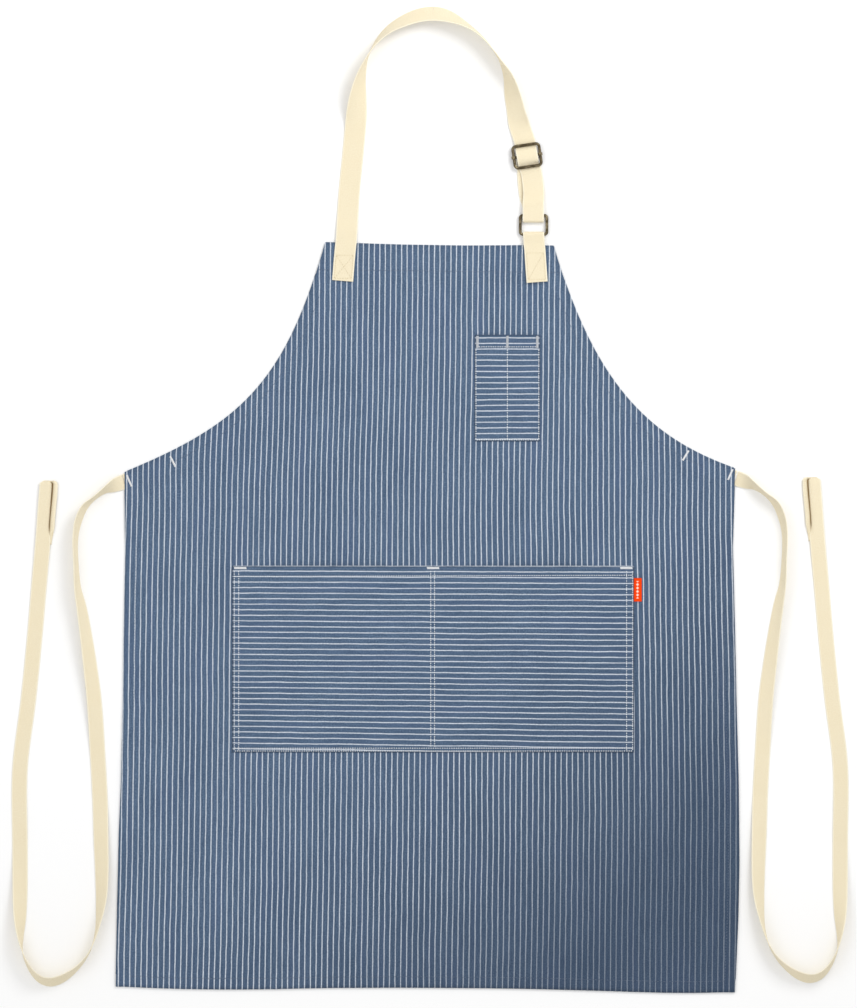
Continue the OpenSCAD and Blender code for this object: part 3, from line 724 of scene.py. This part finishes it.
def make_panel():
    cols = 176
    bib_rows = np.concatenate([np.linspace(0, 0.86, 70), np.linspace(0.87, 1, 16)])
    skirt_rows = np.linspace(0, -SKIRT_L, 150)[1:]
    right = np.concatenate([armhole(1, bib_rows), np.c_[side_u(1, skirt_rows), skirt_rows]])
    left = np.concatenate([armhole(-1, bib_rows), np.c_[-side_u(-1, skirt_rows), skirt_rows]])
    # Columns are closer together beside the edges, where the hems are
    share = np.linspace(-1, 1, cols)
    share = share + 0.1 * np.sin(np.pi * share)
    w = (share[None, :, None] + 1) / 2
    garment = left[:, None] * (1 - w) + right[:, None] * w
    flat = lie(garment[..., 0].ravel(), garment[..., 1].ravel())
    z = cloth_height(flat)
    obj = new_object("body_panel", np.c_[flat, z], grid_faces(len(right), cols), CLOTH)
    x, y = flat.T
    give(obj, "weave", np.c_[stripe_place(x, y), y * MM, 0 * x])
    d = edge_distance(flat)
    # Darker within a few mm of the edge above the waist
    wear_and_painted_shade = 0.3 * (1 - smoothstep(1, 8, d)) * (y > 30)
    give(obj, "darkening_and_painted_shade", np.clip(darkening_at(x, y) + wear_and_painted_shade, 0, 1))
    thicken(obj, PLY, -1)
    placed(obj, "apron", "striped_cloth", "body_panel")


make_panel()


def hem_strip(name, line, depth):
    """A turned hem under the panel's edge: two plies with a rounded fold outside."""
    line = np.asarray(line, float)
    forward = unit(np.gradient(line, axis=0))
    inward = np.c_[forward[:, 1], -forward[:, 0]]
    height = 2 * PLY
    outline = [
        (0.5, height + 0.45), (0.1, height + 0.25), (-0.25, height - 0.15), (-0.4, 0.95), (-0.3, 0.45),
        (0.1, 0.1), (1.2, 0), (depth * 0.5, 0), (depth - 0.8, 0), (depth, 0.2), (depth + 0.25, 0.5 * height),
        (depth, height - 0.1), (depth - 0.8, height), (depth * 0.5, height), (1.6, height),
    ]
    outline = np.array(outline)
    rings, count = len(line), len(outline)
    flat = line[:, None] + inward[:, None] * outline[None, :, :1]
    z = np.zeros((rings, count)) + outline[None, :, 1]
    verts = np.concatenate([flat, z[..., None]], -1).reshape(-1, 3)
    faces = [[a, d, c, b] for a, b, c, d in swept_faces(rings, count)[:-2]]
    faces += [f[::-1] for f in swept_faces(rings, count)[-2:]]
    obj = new_object(name, verts, faces, CLOTH)
    give(obj, "weave", np.c_[stripe_place(verts[:, 0], verts[:, 1]), verts[:, 1] * MM, 0 * verts[:, 0]])
    give(obj, "darkening_and_painted_shade", np.clip(darkening_at(verts[:, 0], verts[:, 1]) + 0.15, 0, 1))
    placed(obj, "apron", "striped_cloth", name)


def make_hems():
    t = np.linspace(0.08, 0.995, 80)
    v = np.linspace(-HEM_D - 7, -SKIRT_L + HEM_D + 0.5, 90)
    right_u, left_u = side_u(1, -SKIRT_L) - 0.2, side_u(-1, -SKIRT_L) - 0.2
    hem_strip("right_armhole_facing", lie(*armhole(1, t).T), HEM_D)
    hem_strip("left_armhole_facing", lie(*armhole(-1, t[::-1]).T), HEM_D)
    hem_strip("right_side_hem", lie(side_u(1, v), v), HEM_D)
    hem_strip("left_side_hem", lie(-side_u(-1, v[::-1]), v[::-1]), HEM_D)
    bottom = lie(np.linspace(right_u, -left_u, 110), np.full(110, -SKIRT_L))
    hem_strip("bottom_hem", bottom, HEM_D)
    top = lie(np.linspace(-BIB_W / 2 + 0.3, BIB_W / 2 - 0.3, 60), np.full(60, BIB_L))
    hem_strip("top_facing", top, TOP_HEM_D)


make_hems()


# ---------------------------------------------------------------- pockets

class Pocket:
    """A patch pocket sewn on the panel. Local x is from its centre and y up from its bottom edge."""

    def __init__(self, origin, width, height, gape, fold, flange, mid, pitch, first_stripe):
        self.origin = np.array(origin, float)
        self.width, self.height, self.gape = width, height, gape
        self.fold, self.flange, self.mid = fold, flange, mid
        self.pitch, self.first_stripe = pitch, first_stripe

    def row(self, x, y):
        """Local points to the row frame's x and y."""
        x, y = np.asarray(x, float), np.asarray(y, float)
        return np.stack([self.origin[0] + x, self.origin[1] + y], -1)

    def lift(self, x, y):
        """Height of the pocket's front above the panel's."""
        half = self.width / 2
        inner = np.minimum(half - self.flange - np.abs(x), np.abs(x) - self.mid)
        room = (half - self.flange - self.mid) / 2
        belly = smoothstep(0, room * 0.9, inner)
        share = np.clip(y / self.height, 0, 1)
        rise = smoothstep(self.flange * 0.6, self.height * 0.75, y) * 0.6 + 0.4 * share
        ripple = 1 + 0.18 * np.sin(x / 19 + y / 60) * np.sin(x / 33 + 1)
        return 2 * PLY + self.gape * belly * rise * ripple

    def seam_dent(self, y):
        """How far into the dent of the mouth hem's seam each height is, from 0 to 1."""
        return np.exp(-(self.height - y - self.fold + 1.5) ** 2)

    def surface(self, x, y):
        """Points on the pocket's front, in the row frame, without its stitch dents."""
        flat = self.row(x, y)
        return np.c_[flat, cloth_height(flat) + self.lift(x, y)]


def pocket_origin(u, v, shift):
    x, y = lie(u, v)
    return x + shift[0], y + shift[1]


MAIN = Pocket(pocket_origin(5.5, -110 - POCKET_H, (1.3, -0.4)), POCKET_W, POCKET_H,
              gape=3.4, fold=13, flange=9, mid=4, pitch=6.45, first_stripe=-82.3)
CHEST = Pocket(pocket_origin(85, 155 - CHEST_H, (2.7, 0)), CHEST_W, CHEST_H,
               gape=1.6, fold=14, flange=3, mid=1.5, pitch=6.47, first_stripe=186.5)


def quarter_round(distance, radius):
    """How deep a rounded edge has dropped at each distance from it: 1 at the edge and 0 past the radius."""
    return 1 - np.sqrt(np.clip(1 - (1 - np.clip(distance / radius, 0, 1)) ** 2, 0, 1))


def make_pocket(pocket, name, cols, stripe_tilt=0.0, pitch_slope=0.0):
    half = pocket.width / 2
    xs = np.linspace(-half, half, cols)
    ys = np.linspace(0, pocket.height, 60)
    # Extra lines close to the edges round the folded seam allowance over
    rim = np.array([0.35, 0.9, 1.8])
    xs = np.unique(np.concatenate([xs, -half + rim, half - rim]))
    ys = np.unique(np.concatenate([ys, rim, pocket.height - rim]))
    x, y = (a.ravel() for a in np.meshgrid(xs, ys))
    points = pocket.surface(x, y)
    to_edge = np.minimum(np.minimum(half - np.abs(x), y), pocket.height - y)
    sewn_edge = np.minimum(half - np.abs(x), y)
    points[:, 2] -= quarter_round(sewn_edge, 1.3) * 1.1
    points[:, 2] -= quarter_round(pocket.height - y, 1.2) * 0.6
    points[:, 2] -= 0.25 * pocket.seam_dent(y) + 0.02 * to_edge.clip(0, 1)
    obj = new_object(name, points, grid_faces(len(ys), len(xs)), CLOTH)
    obj.data.flip_normals()
    px, py = points[:, 0], points[:, 1]
    pitch = pocket.pitch + pitch_slope * x
    place = (py - pocket.first_stripe - stripe_tilt * x) / pitch
    give(obj, "weave", np.c_[place, px * MM, np.full(len(px), 0.3)])
    # Painted shade: the outer 1.7 mm all round each pocket is darkened, standing in for the shadow along its
    # edges
    wear_and_painted_shade = 0.85 * (1 - smoothstep(0.5, 1.7, to_edge))
    give(obj, "darkening_and_painted_shade", np.clip(darkening_at(px, py) * 0.8 + wear_and_painted_shade, 0, 1))
    thicken(obj, PLY, -1)
    return obj


def make_pocket_hem(pocket, name):
    """The mouth's hem, turned inside: a band under the front ply, rolled over at the mouth."""
    half = pocket.width / 2 - 1.2
    xs = np.linspace(-half, half, 90)
    ys = np.array([pocket.height - 0.05, pocket.height + 0.3, pocket.height + 0.15, pocket.height - 1.2])
    ys = np.concatenate([ys, np.linspace(pocket.height - 3, pocket.height - pocket.fold, 5)])
    drop = np.array([0.45, 0.75, 1.2, 1.5, 1.5, 1.5, 1.5, 1.5, 1.4])
    x, y = (a.ravel() for a in np.meshgrid(xs, ys))
    points = pocket.surface(x, np.minimum(y, pocket.height))
    points[:, 1] += np.maximum(y - pocket.height, 0)
    points[:, 2] -= np.repeat(drop, len(xs)) * 0.75
    points[:, 2] = np.maximum(points[:, 2], cloth_height(points[:, :2]) + 0.15)
    obj = new_object(name, points, grid_faces(len(ys), len(xs)), CLOTH)
    px, py = points[:, 0], points[:, 1]
    give(obj, "weave", np.c_[(py - pocket.first_stripe) / pocket.pitch, px * MM, np.full(len(px), 0.3)])
    give(obj, "darkening_and_painted_shade", np.clip(darkening_at(px, py) + 0.1, 0, 1))
    thicken(obj, PLY * 0.8, 0)
    return obj


def make_pockets():
    main = make_pocket(MAIN, "main_pocket", 124, stripe_tilt=-0.0031, pitch_slope=0.00033)
    placed(main, "apron", "pocket_cloth", "main_pocket")
    main_hem = make_pocket_hem(MAIN, "main_pocket_hem")
    placed(main_hem, "apron", "pocket_cloth", "main_pocket_hem")
    chest = make_pocket(CHEST, "chest_pocket", 40)
    placed(chest, "apron", "pocket_cloth", "chest_pocket")
    chest_hem = make_pocket_hem(CHEST, "chest_pocket_hem")
    placed(chest_hem, "apron", "pocket_cloth", "chest_pocket_hem")


make_pockets()


# ---------------------------------------------------------------- thread

def capsule_parts(a, b, radius, height, sides=6):
    """One stitch from a to b: a rounded sliver of thread that dips into the cloth at both ends."""
    a, b = np.asarray(a, float), np.asarray(b, float)
    forward = unit(b - a)
    across = unit(np.cross(forward, [0, 0, 1]))
    up = np.cross(across, forward)
    # Share of the length, of the thickness and of the height at each ring
    stations = [(0.0, 0.25, -0.55), (0.14, 0.85, 0.25), (0.5, 1.0, 0.55), (0.86, 0.85, 0.25),
                (1.0, 0.25, -0.55)]
    verts, weave = [], []
    length = np.linalg.norm(b - a)
    for share, size, lift in stations:
        centre = a + (b - a) * share + up * lift * height
        for k in range(sides):
            angle = 2 * math.pi * k / sides
            verts.append(centre + across * math.cos(angle) * radius * size
                         + up * math.sin(angle) * height * 0.8 * size)
            weave.append((radius * angle, length * share, 0))
    faces = []
    for s in range(len(stations) - 1):
        for k in range(sides):
            i, j = s * sides + k, s * sides + (k + 1) % sides
            faces.append((i, j, j + sides, i + sides))
    faces.append(tuple(range(sides))[::-1])
    faces.append(tuple(range((len(stations) - 1) * sides, len(stations) * sides)))
    return verts, faces, weave


class Thread:
    """Collects stitches into one piece."""

    def __init__(self):
        self.verts, self.faces, self.weave = [], [], []

    def stitch(self, a, b, radius, height):
        verts, faces, weave = capsule_parts(a, b, radius, height)
        base = len(self.verts)
        self.verts += verts
        self.weave += weave
        self.faces += [tuple(i + base for i in f) for f in faces]

    def run(self, points, pitch=3.4, share=0.74, radius=0.36, height=0.3):
        """A row of stitches along a line of points on the cloth."""
        points = np.asarray(points, float)
        length = along(points)
        count = max(1, int(round(length[-1] / pitch)))
        step = length[-1] / count
        for k in range(count):
            low = (k + (1 - share) / 2) * step + random.uniform(-0.12, 0.12)
            ends = [[np.interp(at, length, points[:, c]) for c in range(3)]
                    for at in (low, low + share * step)]
            ends[1][0] += random.uniform(-0.08, 0.08)
            self.stitch(ends[0], ends[1], radius, height)

    def piece(self, name, material, slot):
        obj = new_object(name, self.verts, self.faces, material)
        give(obj, "weave", np.array(self.weave) * MM)
        placed(obj, "apron", slot, name)


def on_cloth(flat):
    flat = np.asarray(flat, float)
    return np.c_[flat, cloth_height(flat)]


def inset_armhole(side, t, distance):
    step = 0.001
    ahead = armhole(side, t + step) - armhole(side, t - step)
    ahead = unit(ahead * (side, 1))
    inward = np.c_[ahead[:, 1], -ahead[:, 0]] * (side, 1)
    return armhole(side, t) + inward * distance


STRAP_EDGES = (-112, -80.5)
TAB_EDGES = (110.5, 141)


def make_hem_stitching():
    top = Thread()
    v = BIB_L - 31
    left, right = lie(-BIB_W / 2 - 7.5, v), lie(BIB_W / 2 + 7.5, v)
    stops = [(left[0], STRAP_EDGES[0]), (STRAP_EDGES[1], TAB_EDGES[0]), (TAB_EDGES[1], right[0])]
    for low, high in stops:
        x = np.linspace(low, high, max(3, int((high - low) / 4)))
        y = np.interp(x, [left[0], right[0]], [left[1], right[1]])
        top.run(on_cloth(np.c_[x, y]), radius=0.3)
    top.piece("top_hem_stitching", BLUE_THREAD, "seam_thread")
    edge = Thread()
    foot = -SKIRT_L + HEM_SEAM
    v = np.linspace(-20, foot, 150)
    for side in (-1, 1):
        edge.run(on_cloth(lie(side * (side_u(side, v) - HEM_SEAM), v)), radius=0.28)
    bottom = np.linspace(HEM_SEAM - side_u(-1, foot), side_u(1, foot) - HEM_SEAM, 160)
    edge.run(on_cloth(lie(bottom, np.full(160, foot))), radius=0.28)
    edge.piece("hem_stitching", BLUE_THREAD, "seam_thread")
    arms = Thread()
    t = np.linspace(0.115, 0.88, 120)
    for side in (-1, 1):
        arms.run(on_cloth(lie(*inset_armhole(side, t, HEM_SEAM).T)), radius=0.28)
    arms.piece("armhole_stitching", BLUE_THREAD, "seam_thread")


def pocket_line(pocket, a, b, count=60):
    x, y = np.linspace(a[0], b[0], count), np.linspace(a[1], b[1], count)
    points = pocket.surface(x, y)
    points[:, 2] -= 0.2 * pocket.seam_dent(y)
    return points


SEWN = {"pitch": 2.65, "share": 0.62, "radius": 0.54, "height": 0.36}


def make_pocket_stitching():
    main = Thread()
    half, height = POCKET_W / 2, POCKET_H
    for x in (-half + 2.4, -half + 7.5, half - 8.5, half - 1.6):
        main.run(pocket_line(MAIN, (x, 2.2), (x, height - 5)), **SEWN)
    for x in (-2.7, 1.7):
        main.run(pocket_line(MAIN, (x, 6), (x, height - 5)), **SEWN)
    for y in (1.6, 4.8):
        main.run(pocket_line(MAIN, (-half + 2.4, y), (half - 1.6, y), 200), **SEWN)
    main.run(pocket_line(MAIN, (-half + 2, height - 11.7), (half - 2, height - 10.3), 200), **SEWN)
    main.piece("main_pocket_stitching", PALE_THREAD, "seam_thread")
    chest = Thread()
    half, height = CHEST_W / 2, CHEST_H
    for x in (-half + 1.4, 0, half - 1.4):
        chest.run(pocket_line(CHEST, (x, 2), (x, height - 16)), **SEWN)
    for y in (1.7, height - 13.4):
        chest.run(pocket_line(CHEST, (-half + 1.4, y), (half - 1.4, y)), **SEWN)
    chest.piece("chest_pocket_stitching", PALE_THREAD, "seam_thread")


def bartack(thread, a, b, width):
    """Dense satin stitches across the line from a to b."""
    a, b = np.asarray(a, float), np.asarray(b, float)
    length = np.linalg.norm(b - a)
    forward = (b - a) / length
    across = unit(np.cross(forward, [0, 0, 1.0]))
    count = int(length / 0.62)
    for k in range(count):
        centre = a + forward * (k + 0.5) * length / count
        slant = forward * random.uniform(0.1, 0.35)
        reach = across * width / 2 * random.uniform(0.93, 1.05)
        thread.stitch(centre - reach - slant, centre + reach + slant, 0.4, 0.42)


def make_bartacks():
    main = Thread()
    for x in (-POCKET_W / 2 + 9.3, 0, POCKET_W / 2 - 8.8):
        a, b = MAIN.surface(np.array([x - 7, x + 7]), np.array([POCKET_H - 2.1] * 2))
        bartack(main, a, b, 2.8)
    main.piece("main_pocket_bartacks", WHITE_THREAD, "bartack_thread")
    chest = Thread()
    for x in (-CHEST_W / 2 + 3.1, 0, CHEST_W / 2 - 3.1):
        a, b = CHEST.surface(np.array([x, x]), np.array([CHEST_H - 14.6, CHEST_H - 0.8]))
        bartack(chest, a, b, 3.3)
    chest.piece("chest_pocket_bartacks", GREY_THREAD, "bartack_thread")
    ties = Thread()
    for high, low in (((348.2, -1), (343, -13)), ((296.7, 21.3), (290.3, 9.8)),
                      ((-348.5, -3.6), (-342.8, -16.6)), ((-299.3, 17.5), (-292.7, 5.6))):
        bartack(ties, *on_cloth(lie([high[0], low[0]], [high[1], low[1]])), 2.6)
    ties.piece("tie_bartacks", WHITE_THREAD, "bartack_thread")


make_hem_stitching()
make_pocket_stitching()
make_bartacks()


# ---------------------------------------------------------------- neck strap

BAR_Y = RING_Y - RING_H / 2 + WIRE_R
FRONT_Z = 3 * PLY
RING_WRAP = WIRE_R + 0.1 + WEB_T / 2
OVER_RING_Z = RING_Z + WIRE_R + 0.1
SLIDER_JOIN = 12.4
FOLD_X, FOLD_LOW_Y, FOLD_TOP_Y = 121.6, 322, 337
SEWN_ROUTE = [(-97.6, 252, FRONT_Z, 0), (-94.6, 288, FRONT_Z, 0), (-93.3, 300.3, FRONT_Z, 0)]
NECK_ROUTE = [
    (-92.7, 310.5, 1.8, 0), (-91.9, 325, 0.8, 0), (-90, 355, 0, 0), (-86, 395, 0, 0),
    (-82.4, 435, 0, 6), (-80.4, 462, 0, 36), (-77, 485, 0, 62), (-69.5, 508, 0, 86),
    (-58, 527, 0, 100), (-45, 540, 0, 112), (-28, 550, 0, 124), (-9, 557, 0, 132), (8, 558.8, 0, 134),
    (20, 556.8, 0, 129), (30, 553.2, 0, 120), (40, 548.4, 0, 109), (52.7, 540.4, 0, 99), (66, 528.6, 0, 94),
    (76, 516.4, 0, 91), (84.4, 503.6, 0, 85), (93, 486, 0, 64), (98.2, 464, 0, 40), (102.6, 443, 0, 26),
    (105.5, 431, 0.6, 8),
]
ADJUSTING_ROUTE = [
    (109.2, 420, 1.2, 0), (111.9, 411.5, 1.8, 0), (112.7, 406.5, 1.8, 0),
    (113.3, 402.5, 5, 0), (114, 398.5, 6.3, 0), (114.6, 395.6, 6.5, 0), (115.1, 392.6, 6.4, 0),
    (115.5, 390, 5.6, 0), (115.9, 387.4, 3.9, 0), (116.5, 384.5, 1.7, 0), (118.6, 379.4, 1.8, 0),
    (121, 366, 2.4, 0), (122.2, 350, 4, 0), (FOLD_X, 341, OVER_RING_Z, 0),
    (FOLD_X, FOLD_TOP_Y, OVER_RING_Z, 0),
]
RETURN_ROUTE = [
    (FOLD_X, FOLD_TOP_Y, 0.4, 0), (120.6, 341, 0.4, 0), (118.2, 348, 0.3, 0), (116.8, 356, 0.2, 0),
    (115.6, 368, 0.2, 0), (115.2, 380, 0.2, 0), (115.13, 386.6, 0.2, 0), (114.14, 393.2, 0.2, 0),
]


def split_at(centres, across, index):
    return (centres[:index + 1], across[:index + 1]), (centres[index:], across[index:])


def make_neck_strap():
    whole = SEWN_ROUTE + NECK_ROUTE + ADJUSTING_ROUTE
    centres, across = lay_route(whole, STRAP_W, 2.5)
    apex = int(np.argmax(centres[:, 1]))
    # The second join is out of sight under the slider's upper bar
    bar = apex + int(np.argmin(np.abs(centres[apex:, 1] - (SLIDER_Y + SLIDER_JOIN))))
    left, rest = split_at(centres, across, apex)
    upper, lower = split_at(*rest, bar - apex)
    run = along(centres)
    neck = ribbon("neck_strap", *left, STRAP_W, NECK_WEB)
    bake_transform(neck)
    placed(neck, None, "webbing", "neck_strap_sewn_end", "neck_strap")
    high = ribbon("adjusting_strap_upper", *upper, STRAP_W, NECK_WEB, start=run[apex])
    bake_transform(high)
    placed(high, None, "webbing", "adjusting_strap")
    low = ribbon("adjusting_strap_lower", *lower, STRAP_W, NECK_WEB, start=run[bar])
    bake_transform(low)
    placed(low, None, "webbing", "adjusting_strap")
    back, back_across = lay_route(RETURN_ROUTE, STRAP_W, 2.5)
    back_piece = ribbon("strap_return", back, back_across, STRAP_W, NECK_WEB)
    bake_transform(back_piece)
    placed(back_piece, None, "webbing", "strap_return")


def fold_line(y0, z0, radius, leg, toward, count=18):
    """A fold in the YZ plane round a bar: down one leg, half round, and back along the other."""
    angles = np.linspace(math.pi / 2, -math.pi / 2, count)
    arc = np.stack([y0 - toward * np.cos(angles) * radius, z0 + np.sin(angles) * radius], -1)
    start = [(y0 + toward * leg, z0 + radius), (y0 + toward * leg / 2, z0 + radius)]
    end = [(y0 + toward * leg / 2, z0 - radius), (y0 + toward * leg, z0 - radius)]
    return np.array(start + arc.tolist() + end)


def make_folds():
    fold = fold_line(FOLD_LOW_Y, RING_Z, RING_WRAP, FOLD_TOP_Y - FOLD_LOW_Y, 1)
    centres = np.c_[np.full(len(fold), FOLD_X), fold]
    obj = ribbon("strap_fold", centres, np.tile([1.0, 0, 0], (len(fold), 1)), STRAP_W, NECK_WEB)
    placed(obj, "neck_loop", "webbing", "strap_fold")
    loop = fold_line(0, BAR_Z, BAR_R + 0.1 + WEB_T / 2, 3, -1)
    cos, sin = math.cos(SLIDER_TURN), math.sin(SLIDER_TURN)
    flat = np.c_[-sin * loop[:, 0], cos * loop[:, 0]] + (SLIDER_X, SLIDER_Y)
    across = np.tile([cos, sin, 0], (len(loop), 1))
    obj = ribbon("strap_return_loop", np.c_[flat, loop[:, 1]], across, STRAP_W - 1, NECK_WEB)
    placed(obj, "slider_bar", "webbing", "strap_return_loop")


def make_tab():
    """Both layers of the tab: up from its sewn end, round the ring's lower bar and back down."""
    under, over = FRONT_Z + WEB_T / 2, FRONT_Z + 1.5 * WEB_T
    points = [(126, 250.5, over), (124.6, 270, over), (123.4, 288, over), (122.6, 295, over + 0.3)]
    angles = np.linspace(-math.pi / 2, math.pi / 2, 16)
    arc = [(RING_X, BAR_Y + math.cos(a) * RING_WRAP, RING_Z - math.sin(a) * RING_WRAP) for a in angles]
    back = [(122.6, 295, under + 0.1), (123.4, 288, under), (124.6, 270, under), (125.9, 251.5, under)]
    line = np.array(points + arc + back)
    length = along(line)
    fine = np.linspace(0, length[-1], 110)
    line = np.stack([np.interp(fine, length, line[:, k]) for k in range(3)], -1)
    flat_slope = np.interp(line[:, 1], [250, 290, 300], [-0.09, -0.07, 0])
    across = np.c_[np.ones(len(line)), -flat_slope, np.zeros(len(line))]
    obj = ribbon("strap_tab", line, across, STRAP_W, NECK_WEB)
    placed(obj, "apron", "webbing", "strap_tab")


BOX_HALF = 9.8
BOX_LINES = [((-1, 0), (1, 0)), ((-1, 0), (-1, 1)), ((1, 0), (1, 1)), ((-1, 1), (1, 1)), ((-1, 0), (1, 1))]
CROSS_LINE = ((1, 0), (-1, 1))


def make_box_stitching(name, low, high, layers, lines):
    """A sewn box between two points up the strap, on top of that many layers of webbing."""
    thread = Thread()
    low, high = np.array(low), np.array(high)
    z = FRONT_Z + layers * WEB_T - 0.02
    for line in lines:
        a, b = (low + (high - low) * up + (side * BOX_HALF, 0) for side, up in line)
        thread.run(np.c_[np.linspace(a, b, 20), np.full(20, z)], pitch=2.8, radius=0.3, height=0.22)
    thread.piece(name, CREAM_THREAD, "cream_thread")


make_neck_strap()
make_folds()
make_tab()
make_box_stitching("strap_stitching", (-97.4, 254.8), (-95.2, 281.5), 1, BOX_LINES + [CROSS_LINE])
make_box_stitching("tab_stitching", (125.8, 253.6), (123.6, 284), 2, BOX_LINES)


# ---------------------------------------------------------------- tie ends under the hem, label, hardware

def make_tie_anchors():
    for side, name in ((-1, "left"), (1, "right")):
        a, b = anchor_ends(side)
        line = np.linspace(np.r_[a, 0.7], np.r_[b, 0.7], 16)
        across = np.tile(unit(np.cross(np.r_[b - a, 0], [0, 0, 1])), (16, 1))
        obj = ribbon(f"{name}_tie_anchor", line, across, TIE_W, TIE_WEB)
        placed(obj, "apron", "webbing", f"{name}_tie_anchor")


LABEL_L = 27
LABEL_BELOW_MOUTH = 13.5


def make_label():
    """Folded double: a thin loop whose fold is its outer edge."""
    x0 = MAIN.origin[0] + POCKET_W / 2 - 0.6
    y0 = MAIN.origin[1] + POCKET_H - LABEL_BELOW_MOUTH - LABEL_L
    profile = [(0, 0.75), (3, 0.8), (6, 0.78), (8.6, 0.72), (9.35, 0.55), (9.55, 0.4), (9.35, 0.22),
               (8.6, 0.06), (6, 0.02), (3, 0.0), (0, 0.0)]
    ys = np.linspace(0, LABEL_L, 24)
    base = float(cloth_height(np.array([[x0 + 4, y0 + 13]]))[0]) + 0.12
    verts, weave = [], []
    for y in ys:
        for px, pz in profile:
            verts.append((x0 + px, y0 + y, base + pz + 0.06 * math.sin(y / 5)))
            weave.append((px - 4.7, y - LABEL_L / 2, 0))
    count = len(profile)
    faces = [f[::-1] for f in grid_faces(len(ys), count).tolist()]
    faces += [[i * count + count - 1, i * count, (i + 1) * count, (i + 1) * count + count - 1]
              for i in range(len(ys) - 1)]
    faces += [list(range(count)), list(range((len(ys) - 1) * count, len(ys) * count))[::-1]]
    obj = new_object("pocket_label", verts, faces, LABEL)
    give(obj, "weave", np.array(weave) * MM)
    placed(obj, "label", "label_cloth", "pocket_label")


def dress_hardware():
    for node in ("ring", "slider_frame", "slider_bar"):
        obj = bpy.data.objects[node]
        obj.data.materials.clear()
        obj.data.materials.append(BRASS)


make_tie_anchors()
make_label()
dress_hardware()


# ---------------------------------------------------------------- floor and light

def make_floor():
    material = Nodes("floor")
    material.shader.inputs["Base Color"].default_value = (0.93, 0.93, 0.93, 1)
    material.numbers(Roughness=0.9, Specular_IOR_Level=0.1)
    side = 8000
    corners = [(-side, -side, 0), (side, -side, 0), (side, side, 0), (-side, side, 0)]
    floor = new_object("floor", corners, [(0, 1, 2, 3)], material.material)


def area_light(name, location, size, energy):
    """A square light aimed at the middle of the floor."""
    data = bpy.data.lights.new(name, "AREA")
    data.shape = "RECTANGLE"
    data.size = data.size_y = size
    data.energy = energy
    light = bpy.data.objects.new(name, data)
    light.location = location
    light.rotation_euler = Vector([-c for c in location]).to_track_quat("-Z", "Y").to_euler()
    bpy.context.scene.collection.objects.link(light)


def make_light():
    world = bpy.data.worlds.new("world")
    bpy.context.scene.world = world
    world.use_nodes = True
    background = world.node_tree.nodes["Background"]
    background.inputs["Color"].default_value = (1, 1, 1, 1)
    background.inputs["Strength"].default_value = 0.8
    area_light("key", (1.1, 1.3, 1.5), 0.9, 20)
    area_light("fill", (-1.4, 0.3, 1.9), 1.6, 9)
    bpy.context.scene.view_settings.view_transform = "Standard"


make_floor()
make_light()
